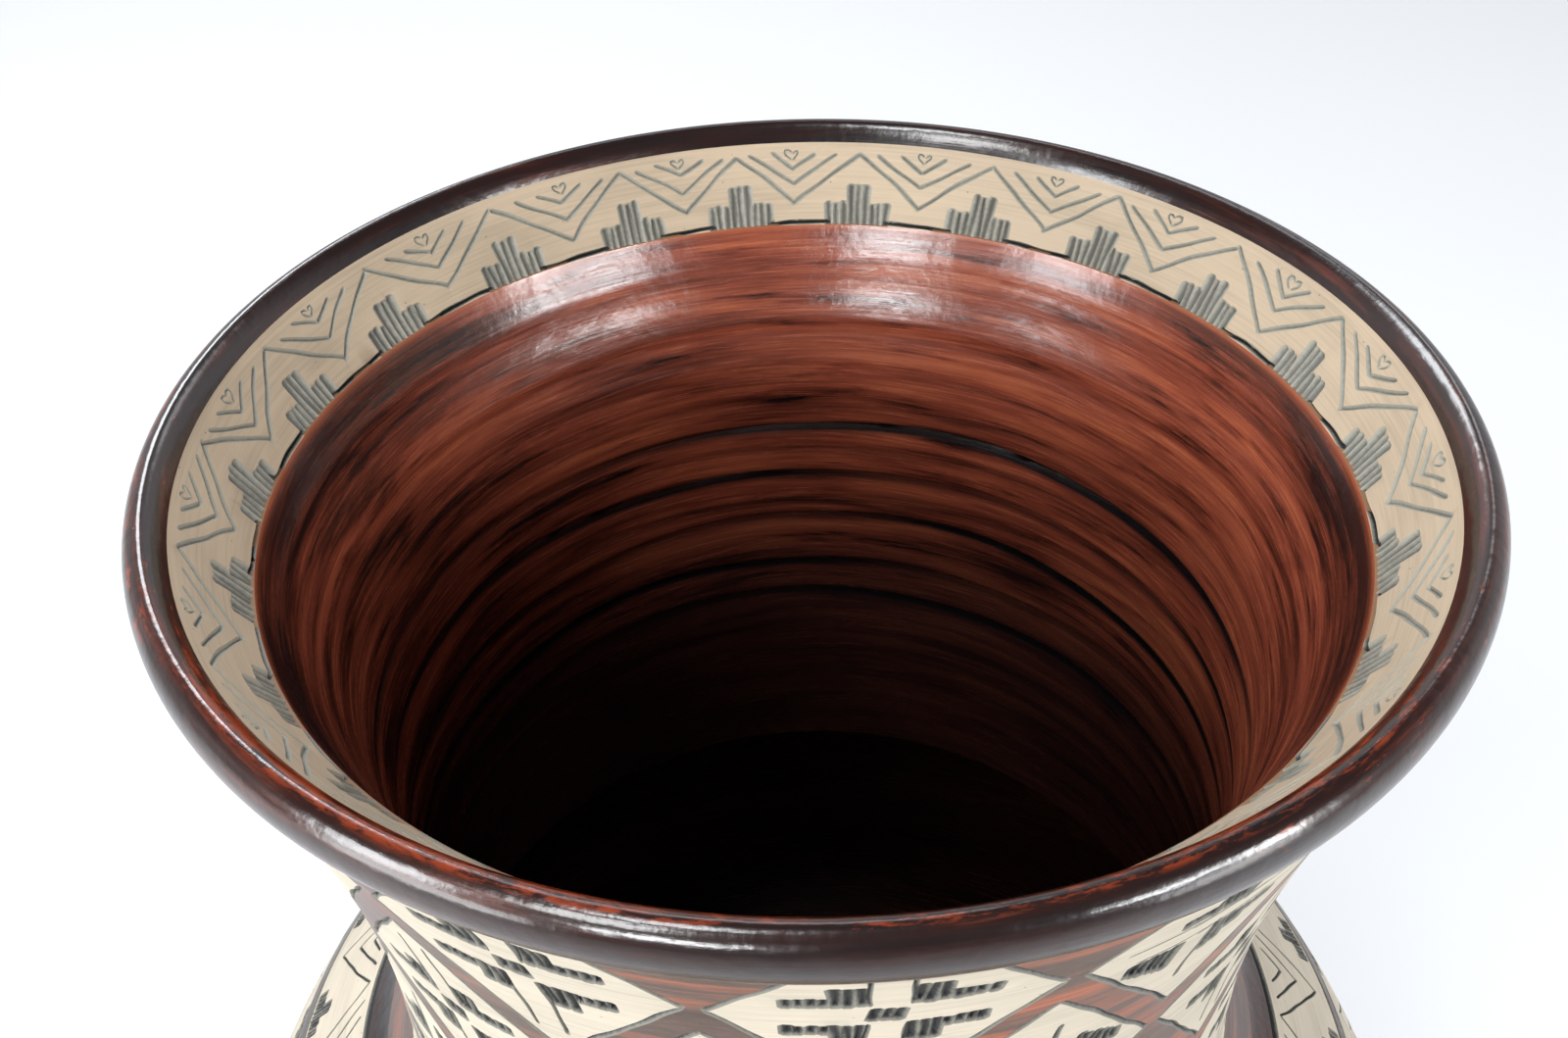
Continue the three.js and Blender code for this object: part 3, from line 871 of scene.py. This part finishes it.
def tiny_heart(sheet, u, v, width, depth):
    """The small heart inside the innermost chevron, cut in two strokes that meet at its point."""
    for side in (-1, 1):
        sheet.line([(u, v + 0.9), (u + side * 0.8, v - 0.1), (u + side * 1.9, v), (u + side * 2.0, v + 1.0),
                    (u, v + 2.9)], width, depth, 0.7)


def stepped_pyramid(sheet, u, base, tower, shoulder, side_gouges, flip=1, pitch=None):
    """A stepped pyramid cut as a block of gouges that run down to its base."""
    columns = [(-shoulder, 0.0)] * side_gouges + [(-tower, 0.0)] * 3 + [(-shoulder, 0.0)] * side_gouges
    sheet.gouges((u, base), columns, flip, pitch=pitch)


def mouth_band():
    """The tan band inside the mouth: a zigzag with nested chevrons, over stepped pyramids."""
    sizes = bpy.context.scene.vase_sizes
    width, depth = sizes.band_line_width / MM, sizes.line_depth / MM
    sheet = Sheet([(MOUTH_BORE, LIP_SEAM), (BAND_FOOT_RADIUS, COLLAR_SEAM)], True, seed=11)
    nudge = sheet.random.uniform
    centres = sorted(sheet.around(d) % sheet.round for d in chevron_centres())
    foot = sheet.length - 0.75
    pyramids = []
    for i, u in enumerate(centres):
        following = centres[(i + 1) % len(centres)] + (sheet.round if i == len(centres) - 1 else 0)
        before = centres[i - 1] - (sheet.round if i == 0 else 0)
        left, right = (u + before) / 2, (u + following) / 2
        low, peak, half_way = 18.9 + nudge(-0.5, 0.6), 3.0, 10.9
        sheet.line([(left - 0.5, peak + nudge(-0.5, 0.5)), ((left + u) / 2 + nudge(-0.4, 0.4), half_way),
                    (u + 0.7, low)], width, depth)
        sheet.line([(u - 0.5, low - 0.2), ((right + u) / 2 + nudge(-0.4, 0.4), half_way),
                    (right, peak + nudge(-0.6, 0.4))], width, depth)
        for half, top, bottom in ((13.2, 3.4, 12.7), (7.0, 3.2, 7.9)):
            half, top, bottom = half + nudge(-0.7, 0.7), top + nudge(-0.5, 0.5), bottom + nudge(-0.7, 0.7)
            sheet.line([(u - half, top), (u + 0.35, bottom)], width * 0.9, depth)
            sheet.line([(u - 0.3, bottom), (u + half, top + nudge(-0.4, 0.4))], width * 0.9, depth)
        tiny_heart(sheet, u + nudge(-0.5, 0.5), 2.4, width * 0.5, depth * 0.8)
        pyramids.append(right + nudge(-0.6, 0.6))
        stepped_pyramid(sheet, pyramids[-1], foot + 1.6, 13.2 + nudge(-0.6, 0.6), 8.0 + nudge(-0.4, 0.4), 3,
                        pitch=2.2)
        start, end = left + 8.2, right - 8.2
        sheet.line([(start, foot), (u, foot - 0.1), (end, foot)], 1.4, 1.0)

    def cut_finish_at(u, v):
        """The foot line keeps dark pigment, also painted shade at the band's step; the rest was rubbed paler.
        """
        across = (u[:, None] - np.array(pyramids) + sheet.round / 2) % sheet.round - sheet.round / 2
        return np.where((v > foot - 0.8) & (abs(across).min(axis=1) > 8.3), CUT, PALE_CUT)

    return sheet.cut(lambda u, v: np.full(len(u), TAN), cut_finish_at)


def lozenge_rows(sheet):
    """Rows of lozenges down the neck: slope of the centres, and how far they sit over in steps."""
    return [(sheet.slope_at(height), 0.5 * (row % 2)) for row, height in enumerate(LOZENGE_ROWS)]


def lozenge_corners(u, v, half_width, half_height):
    """The four corners of a lozenge, from its top round to its left."""
    return [(u, v - half_height), (u + half_width, v), (u, v + half_height), (u - half_width, v)]


def clipped(start, end, low, high):
    """The part of a straight line between two slopes, or nothing."""
    (u0, v0), (u1, v1) = (start, end) if start[1] <= end[1] else (end, start)
    if v1 <= low or v0 >= high:
        return None

    def at(v):
        return u0 + (u1 - u0) * (v - v0) / (v1 - v0)

    first, last = max(v0, low), min(v1, high)
    return [(at(first), first), (at(last), last)] if last - first > 2 else None


def point_of_tool():
    """Width and depth of a line drawn outside, in millimetres."""
    sizes = bpy.context.scene.vase_sizes
    return sizes.line_width / MM, sizes.line_depth / MM


def stepped_cross(sheet, u, v, low, high, scale=1.0):
    """Lozenge filling: a pale cross with a dark square at its middle and four stepped, gouged corners."""
    width, depth = point_of_tool()
    for side in (-1, 1):
        edge = u + side * 3.2 * scale
        for upright in (-1, 1):
            bar = clipped((edge, v + upright * 4.6), (edge, v + upright * 31 * scale), low, high)
            if bar:
                sheet.line(bar, width * 0.8, depth)
            tall = [(4.4, min(15.4, v - low) if upright < 0 else 15.4)] * 3
            wide = [(4.4, 9.8)] * 4
            columns = [(a * scale, b * scale) for a, b in (wide + tall if side < 0 else tall + wide)]
            reach = max(b for _, b in columns)
            if low <= v + upright * reach < high:
                sheet.gouges((u + side * 10.0 * scale, v), columns, upright)
    if low + 4 < v < high - 4:
        sheet.gouges((u, v), [(-3.6, 3.6)] * 3)


def fret(sheet, u, v, low, high, scale=1.0):
    """Lozenge filling: an upright line with stepped combs hung from it, and a few long thin lines."""
    width, depth = point_of_tool()
    for side in (-1, 1):
        bar = clipped((u - side * 2 * scale, v + side * 2), (u - side * 3 * scale, v + side * 27 * scale),
                      low, high)
        if bar:
            sheet.line(bar, width, depth)
        steps = [13.5, 12.6, 9.0, 8.4, 5.2, 4.8, 4.4]
        columns = [(3.6 * scale, (3.6 + s) * scale) for s in (steps if side > 0 else steps[::-1])]
        if low < v + side * 17 * scale < high:
            sheet.gouges((u + side * 5.2 * scale, v), columns, side)
        outer = [(0.0, 6.5 + 1.1 * k) for k in range(6)]
        columns = outer if side > 0 else outer[::-1]
        if low < v + side * 20 * scale < high:
            sheet.gouges((u - side * 13.5 * scale, v + side * 5.4 * scale), columns, side, pitch=1.8)
        for reach in (9, 21):
            rule = clipped((u - side * reach * scale, v - side * 1.5),
                           (u + side * (reach - 3) * scale, v - side * 4.5), low, high)
            if rule:
                sheet.line(rule, width * 0.6, depth * 0.5)


def outer_neck():
    """The outer face of neck and collar: pale lozenges in a burnished lattice, over a burnished band."""
    width, depth = point_of_tool()
    profile = [(LIP_FOOT[0], LIP_FOOT[1] - 0.15)]
    profile += [(outside(z), z) for z in heights(COLLAR_SEAM, NECK_SEAM, 2)]
    sheet = Sheet(profile, False, seed=23)
    sheet.splits = [sheet.slope_at(COLLAR_SEAM)]
    pitch = sheet.round / NECK_REPEATS
    half = pitch / 2 - LOZENGE_GAP
    front = sheet.around(NECK_FRONT)
    low, high = 2.4, sheet.slope_at(NECK_BAND_TOP)
    for row, (v, offset) in enumerate(lozenge_rows(sheet)):
        for i in range(NECK_REPEATS):
            u = front + (i + offset) * pitch
            u -= math.floor(u / sheet.round) * sheet.round
            points = lozenge_corners(u, v, half, LOZENGE_HALF_HEIGHT)
            for a, b in zip(points, points[1:] + points[:1]):
                side = clipped(a, b, low, high)
                if side:
                    sheet.line(side, width * 1.15, depth)
            filling = stepped_cross if (i + row) % 2 == 0 else fret
            filling(sheet, u, v, low + 1, high - 1)
    sheet.turned_line(1.2, 1.7, 0.7, 0.1)
    sheet.turned_line(high + 1, 1.6, 0.8, 0.25)

    def finish_at(u, v):
        pale = np.zeros(len(u), bool)
        for centre, offset in lozenge_rows(sheet):
            x = (u - front - offset * pitch + pitch / 2) % pitch - pitch / 2
            pale |= abs(x) / half + abs(v - centre) / LOZENGE_HALF_HEIGHT < 1
        return np.where(pale & (v < high + 1) & (v > 1.2), CREAM, POLISHED)

    return sheet.cut(finish_at)


def nested_chevrons(sheet, u, half, top, bottom, parts, flip=1):
    """A zigzag point with smaller chevrons inside it, cut leg by leg."""
    width, depth = point_of_tool()
    nudge = sheet.random.uniform
    for share in parts:
        reach, deep = half * share, top + (bottom - top) * (1 if share == 1 else share * 0.92)
        start = top + flip * (1 - share) * 1.5
        sheet.line([(u - reach, start + nudge(-0.6, 0.6)), (u + 0.5, deep)], width, depth)
        sheet.line([(u - 0.4, deep), (u + reach, start + nudge(-0.6, 0.6))], width, depth)


def belly_face():
    """The outer face of the belly: chevron bands beside a polished stripe, then a row of lozenges."""
    width, depth = point_of_tool()
    profile = [(outside(z), z) for z in heights(NECK_SEAM, PATTERN_FOOT, 1.5)]
    sheet = Sheet(profile, False, seed=37)
    sheet.splits = [sheet.slope_at(BELT_SEAM)]
    groove, stripe, knee = (sheet.slope_at(s[0]) for s in (GROOVE, STRIPE, KNEE))
    pitch = sheet.round / SHOULDER_REPEATS
    for i in range(SHOULDER_REPEATS):
        u = (i + 0.3) * pitch
        nested_chevrons(sheet, u, pitch / 2, groove + 4.5, stripe - 6.5, (1, 0.66, 0.34))
        stepped_pyramid(sheet, u + pitch / 2, stripe - 1.2, 11.0, 6.0, 4)
        nested_chevrons(sheet, u, pitch / 2, LOWER_BAND_FOOT - 4.5, knee + 7, (1, 0.66, 0.34), -1)
        stepped_pyramid(sheet, u + pitch / 2, knee + 1.2, 11.0, 6.0, 4, flip=-1)
    for v, wide, deep in ((groove, 3.2, 1.3), (stripe, 1.5, 0.9), (knee, 1.5, 0.9),
                          (LOWER_BAND_FOOT, 2.4, 1.1), (LOWER_BAND_FOOT + 15, 1.6, 0.9),
                          (ROW_CENTRE + ROW_HALF + 9, 1.6, 0.9)):
        sheet.turned_line(v, wide, deep)
    step = sheet.round / BELLY_REPEATS
    half = step / 2 - LOZENGE_GAP
    low, high = LOWER_BAND_FOOT + 17, sheet.length - 2
    for i in range(BELLY_REPEATS):
        u = (i + 0.5) * step
        points = lozenge_corners(u, ROW_CENTRE, half, ROW_HALF)
        for a, b in zip(points, points[1:] + points[:1]):
            sheet.line([a, b], width * 1.15, depth)
        (stepped_cross if i % 2 else fret)(sheet, u, ROW_CENTRE, low, high, 1.25)

    def finish_at(u, v):
        x = u % step - step / 2
        lozenge = abs(x) / half + abs(v - ROW_CENTRE) / ROW_HALF < 1
        band = ((v > groove) & (v < stripe)) | ((v > knee) & (v < LOWER_BAND_FOOT))
        return np.where(band | lozenge, CREAM, MAHOGANY)

    return sheet.cut(finish_at)


def neck_bore():
    """Inside of the neck: radius, height and painted shade under its rings, for each row and column."""
    ring_depth = bpy.context.scene.vase_sizes.ring_depth / MM
    levels = np.concatenate([*(heights(*rows)[:-1] for rows in BORE_ROWS[:-1]), heights(*BORE_ROWS[-1])])
    angle = np.arange(BORE_COLUMNS) * TURN / BORE_COLUMNS
    height = np.repeat(levels[:, None], BORE_COLUMNS, axis=1)
    base = np.array([bore(z) for z in levels])[:, None]
    radius = base + np.zeros((1, BORE_COLUMNS))
    dark = np.zeros_like(radius)
    chance = random.Random(5)
    for level, strength in THROWING_RINGS:
        swing = [chance.uniform(0, TURN) for _ in range(4)]
        line = level + 1.5 * np.sin(angle + swing[0]) + 0.8 * np.sin(3 * angle + swing[1]) \
            + 0.35 * np.sin(8 * angle + swing[2])
        fade = strength * (0.72 + 0.28 * np.sin(2 * angle + swing[3]))
        below = line - height
        fall = np.where(below > 0, np.exp(-below / RING_FALL), np.exp(below / RING_EDGE))
        radius += ring_depth * fade * fall
        # Painted shade: a dark line just under each ring's overhanging ledge
        dark = np.maximum(dark, PAINTED_RING_SHADE * fade * np.exp(-((below - PAINTED_RING_SHADE_DROP) / PAINTED_RING_SHADE_WIDTH) ** 2))
    for level, rise, reach in SOFT_RIDGES:
        line = level + 1.1 * np.sin(angle + chance.uniform(0, TURN)) + 0.6 * np.sin(3 * angle + level)
        off = height - line
        rise = rise * (0.85 + 0.15 * np.sin(4 * angle + level))
        radius -= rise * np.exp(-np.abs(off) / np.where(off > 0, reach, RIDGE_EDGE))
    soft = 0.07 * np.sin(TURN * height / 11 + 1.1 * np.sin(angle + 2) + 0.4 * np.sin(3 * angle)) \
        * np.clip((height - 535) / 25, 0, 1) * np.clip((COLLAR_SEAM - 1 - height) / 5, 0, 1)
    ends = np.clip((COLLAR_SEAM - height) / 4, 0, 1) * np.clip((height - THROAT_FOOT) / 6, 0, 1)
    wiped = np.exp(-((COLLAR_SEAM - height) / 1.1) ** 2)
    return base + (radius - base + soft) * ends, height, dark * ends - wiped


class VASE_OT_lip(bpy.types.Operator):
    """Roll the coil of the lip"""

    bl_idname = "vase.lip"
    bl_label = "Rolled lip"

    def execute(self, context):
        clay = Clay()
        quarter = math.pi / 2
        ends = np.linspace(0, quarter, BEAD_STEPS + 1)[1:]
        crown, edge = Vector((CROWN_RADIUS, RIM_TOP, 0)), Vector((MOUTH_BORE, LIP_SEAM, 0))
        pull = Vector(((CROWN_RADIUS + MOUTH_BORE) / 2, RIM_TOP - CROWN_EASE, 0))
        inner_slope = (crown, crown.lerp(pull, 2 / 3), edge.lerp(pull, 2 / 3), edge)
        bead = [(LIP_FOOT[0] + (MOUTH_RADIUS - LIP_FOOT[0]) * math.sin(t),
                 BEAD_HEIGHT - (BEAD_HEIGHT - LIP_FOOT[1]) * math.cos(t)) for t in ends]
        bead += [(CROWN_RADIUS + (MOUTH_RADIUS - CROWN_RADIUS) * math.cos(t),
                  BEAD_HEIGHT + (RIM_TOP - BEAD_HEIGHT) * math.sin(t)) for t in ends]
        bead += [tuple(point[:2]) for point in interpolate_bezier(*inner_slope, BEAD_STEPS)[1:]]
        start = clay.ring(*LIP_FOOT)
        last = clay.profile(start, bead, LIP)
        seat = [(LIP_SEAT_RADIUS + 0.15, LIP_SEAM), (LIP_SEAT_RADIUS + 0.15, LIP_FOOT[1])]
        last = clay.profile(last, seat, CLAY)
        clay.join(last, start, CLAY)
        fire(clay, "rolled_lip_burnished", "rolled_lip", crease=50)
        return {"FINISHED"}


class VASE_OT_neck(bpy.types.Operator):
    """Throw the neck and its collar, and cut their patterns"""

    bl_idname = "vase.neck"
    bl_label = "Neck and mouth collar"

    def execute(self, context):
        face, band = outer_neck(), mouth_band()
        split = face.splits[0]

        collar = Clay()
        top, foot = face.part(collar, 0, split)
        lip_edge, band_foot = band.part(collar, 0, band.length)
        seat = LIP_SEAT_RADIUS - 0.15
        last = collar.profile(top, [(seat, LIP_FOOT[1] - 0.15), (seat, LIP_SEAM)], CLAY)
        collar.join(last, lip_edge, CLAY)
        collar.join(foot, band_foot, CLAY)
        fire(collar, "mouth_collar_carved", "mouth_collar")

        neck = Clay()
        top, foot = face.part(neck, split, face.length)
        radii, levels, dark = neck_bore()
        bore_top, bore_foot = neck.grid(radii, levels, dark, MAHOGANY)
        neck.join(top, bore_top, CLAY)
        spigot = OPENING_RADIUS - 0.15
        last = neck.profile(foot, [(spigot, NECK_SEAM), (spigot, THROAT_FOOT)], CLAY)
        neck.join(last, bore_foot, CLAY)
        fire(neck, "neck_carved", "neck")
        return {"FINISHED"}


class VASE_OT_belly(bpy.types.Operator):
    """Throw the two halves of the belly and cut their pattern"""

    bl_idname = "vase.belly"
    bl_label = "Belly"

    def execute(self, context):
        face = belly_face()
        split = face.splits[0]

        upper = Clay()
        top, foot = face.part(upper, 0, split)
        opening = OPENING_RADIUS + 0.15
        inner = [(opening, NECK_SEAM), (opening, THROAT_FOOT)]
        wall = [(wall_inside(z), z) for z in heights(THROAT_FOOT - 0.3, TONGUE_TOP + 0.3, 6)]
        tongue = [(TONGUE_RADIUS + 0.3, TONGUE_TOP + 0.3), (TONGUE_RADIUS + 0.3, BELT_SEAM)]
        last = upper.profile(upper.profile(top, inner, CLAY), wall, MAHOGANY)
        upper.join(upper.profile(last, tongue, CLAY), foot, CLAY)
        fire(upper, "upper_belly_carved", "upper_belly")

        lower = Clay()
        top, foot = face.part(lower, split, face.length)
        plain = [(outside(z), z) for z in heights(PATTERN_FOOT, FLOOR_TOP, 3)[1:]]
        last = lower.profile(foot, plain, MAHOGANY)
        tongue = lower.profile(top, [(TONGUE_RADIUS, BELT_SEAM), (TONGUE_RADIUS, TONGUE_TOP)], CLAY)
        wall = [(wall_inside(z), z) for z in heights(TONGUE_TOP, FLOOR_TOP + FLOOR_CORNER, 6)]
        corner = [(wall_inside(FLOOR_TOP) - FLOOR_CORNER, FLOOR_TOP)]
        lower.join(lower.profile(lower.profile(tongue, wall, MAHOGANY), corner, CLAY), last, CLAY)
        fire(lower, "lower_belly_carved", "lower_belly")
        return {"FINISHED"}


class VASE_OT_foot(bpy.types.Operator):
    """Set the floor slab in place and turn the foot ring under it"""

    bl_idname = "vase.foot"
    bl_label = "Floor and foot ring"

    def execute(self, context):
        ring = Clay()
        start = ring.ring(*FOOT_PROFILE[0])
        ring.join(ring.profile(start, FOOT_PROFILE[1:], CLAY), start, CLAY)
        fire(ring, "foot_ring_turned", "foot_ring")

        slab = Clay()
        under = slab.ring(FLOOR_RADIUS - 4, FLOOR_BOTTOM)
        slab.cap(under, FLOOR_BOTTOM, CLAY)
        rows = [(FLOOR_RADIUS, FLOOR_TOP)]
        rows += [(r, FLOOR_TOP - 0.25 * (1 - math.cos(r / 2.2)) / 2) for r in np.arange(80, 3, -1.1)]
        slab.cap(slab.profile(under, rows, CLAY), FLOOR_TOP - 0.1, CLAY)
        fire(slab, "floor_disc_thrown", "floor_disc")
        return {"FINISHED"}


def set_camera(scene):
    """The camera, which looks down into the mouth from the front."""
    data = bpy.data.cameras.new("studio_camera")
    data.sensor_width, data.lens = SENSOR, LENS
    data.clip_start, data.clip_end = 0.01, 60
    camera = bpy.data.objects.new("studio_camera", data)
    camera.location = CAMERA_PLACE
    camera.rotation_euler = Euler([math.radians(angle) for angle in CAMERA_TURN])
    scene.collection.objects.link(camera)
    scene.camera = camera


def lay_floor(scene):
    """A wide floor of matt white paint, with painted glow behind the pot and painted shade towards the
    camera.
    """
    mesh = bpy.data.meshes.new("studio_floor")
    corners = [(-FLOOR_REACH, -FLOOR_REACH, 0), (FLOOR_REACH, -FLOOR_REACH, 0),
               (FLOOR_REACH, FLOOR_REACH, 0), (-FLOOR_REACH, FLOOR_REACH, 0)]
    mesh.from_pydata(corners, [], [(0, 1, 2, 3)])
    material, tree, shader = new_material("painted_studio_floor")
    place = add(tree, "TexCoord").outputs["Object"]
    parts = add(tree, "SeparateXYZ", inputs={0: place}).outputs
    mottle = add(tree, "TexNoise", inputs={"Vector": place, "Scale": PATCHES})
    paint = tuple(scene.vase_colours.floor)
    tone = add(tree, "ValToRGB", inputs={"Fac": mottle.outputs["Fac"]},
               stops=[(0, dimmed(paint, 0.98)), (1, paint)])
    shaded = add(tree, "Mix", {"data_type": "RGBA"},
                 {"Factor": zone(tree, (parts["Y"], *PAINTED_SHADE_SPAN)), "A": (*dimmed(paint, PAINTED_SHADE_SHARE), 1),
                  "B": tone.outputs["Color"]})
    glow = add(tree, "MapRange", {"interpolation_type": "SMOOTHSTEP"},
               {"Value": parts["Y"], "From Min": PAINTED_GLOW_RISE[0] * MM, "From Max": PAINTED_GLOW_RISE[1] * MM,
                "To Min": PAINTED_GLOW[0], "To Max": PAINTED_GLOW[1]})
    tree.links.new(shaded.outputs["Result"], shader.inputs["Base Color"])
    tree.links.new(glow.outputs["Result"], shader.inputs["Emission Strength"])
    shader.inputs["Roughness"].default_value = 0.9
    shader.inputs["Emission Color"].default_value = (*linear("#FCFDFF"), 1)
    mesh.materials.append(material)
    ground = bpy.data.objects.new("studio_floor", mesh)
    scene.collection.objects.link(ground)


def fill_air(scene):
    """The light of the room: white low behind the pot, grey above and on the camera's side."""
    world = bpy.data.worlds.new("studio_air")
    scene.world = world
    world.use_nodes = True
    tree = world.node_tree
    way = add(tree, "TexCoord").outputs["Generated"]
    parts = add(tree, "SeparateXYZ", inputs={0: way})
    rise = add(tree, "Math", {"operation": "MULTIPLY_ADD"},
               {0: parts.outputs["Y"], 1: AIR_LEAN, 2: parts.outputs["Z"]})
    air = add(tree, "ValToRGB", inputs={"Fac": rise.outputs[0]},
              stops=[(0.0, linear(AIR_BACK)), (0.5, linear(AIR_FRONT))])
    sky = tree.nodes["Background"]
    tree.links.new(air.outputs["Color"], sky.inputs["Color"])
    sky.inputs["Strength"].default_value = AIR_STRENGTH


def softbox(name, heading, height, away, size, radiance, shade):
    """A soft light that faces the mouth, from a heading and height in degrees and a distance in metres."""
    data = bpy.data.lights.new(name, "AREA")
    data.shape, data.size, data.size_y = "RECTANGLE", *size
    data.energy, data.color = radiance * math.pi * size[0] * size[1], linear(shade)
    light = bpy.data.objects.new(name, data)
    heading, height = math.radians(heading), math.radians(height)
    flat = math.cos(height)
    out = Vector((math.cos(heading) * flat, math.sin(heading) * flat, math.sin(height)))
    light.location = Vector((0, 0, RIM_TOP * MM)) + out * away
    light.rotation_euler = out.to_track_quat("Z", "Y").to_euler()
    bpy.context.collection.objects.link(light)


class VASE_OT_stage(bpy.types.Operator):
    """Lay the studio floor, hang the lights and set the camera"""

    bl_idname = "vase.stage"
    bl_label = "Studio"

    def execute(self, context):
        set_camera(context.scene)
        lay_floor(context.scene)
        fill_air(context.scene)
        for light in LIGHTS:
            softbox(*light)
        context.scene.view_settings.view_transform = "Standard"
        return {"FINISHED"}


PIECES = (VASE_OT_lip, VASE_OT_neck, VASE_OT_belly, VASE_OT_foot, VASE_OT_stage)


class VASE_PT_panel(bpy.types.Panel):
    """Sizes, colours and pieces of the vase"""

    bl_idname = "VASE_PT_panel"
    bl_label = "Vase"
    bl_space_type = "VIEW_3D"
    bl_region_type = "UI"
    bl_category = "Vase"

    def draw(self, context):
        for group in (context.scene.vase_sizes, context.scene.vase_colours):
            box = self.layout.box()
            for name in group.bl_rna.properties.keys():
                if name not in ("rna_type", "name"):
                    box.prop(group, name)
        for piece in PIECES:
            self.layout.operator(piece.bl_idname)


CLASSES = (VaseSizes, VaseColours, *PIECES, VASE_PT_panel)


def register():
    """Adds the sizes, colours, operators and panel."""
    for kind in CLASSES:
        bpy.utils.register_class(kind)
    bpy.types.Scene.vase_sizes = bpy.props.PointerProperty(type=VaseSizes)
    bpy.types.Scene.vase_colours = bpy.props.PointerProperty(type=VaseColours)


def unregister():
    """Takes them away again."""
    del bpy.types.Scene.vase_colours, bpy.types.Scene.vase_sizes
    for kind in reversed(CLASSES):
        bpy.utils.unregister_class(kind)


def main():
    """Builds the vase and its studio."""
    register()
    makers = bpy.ops.vase
    for make in (makers.stage, makers.lip, makers.neck, makers.belly, makers.foot):
        make()


if __name__ == "__main__":
    main()
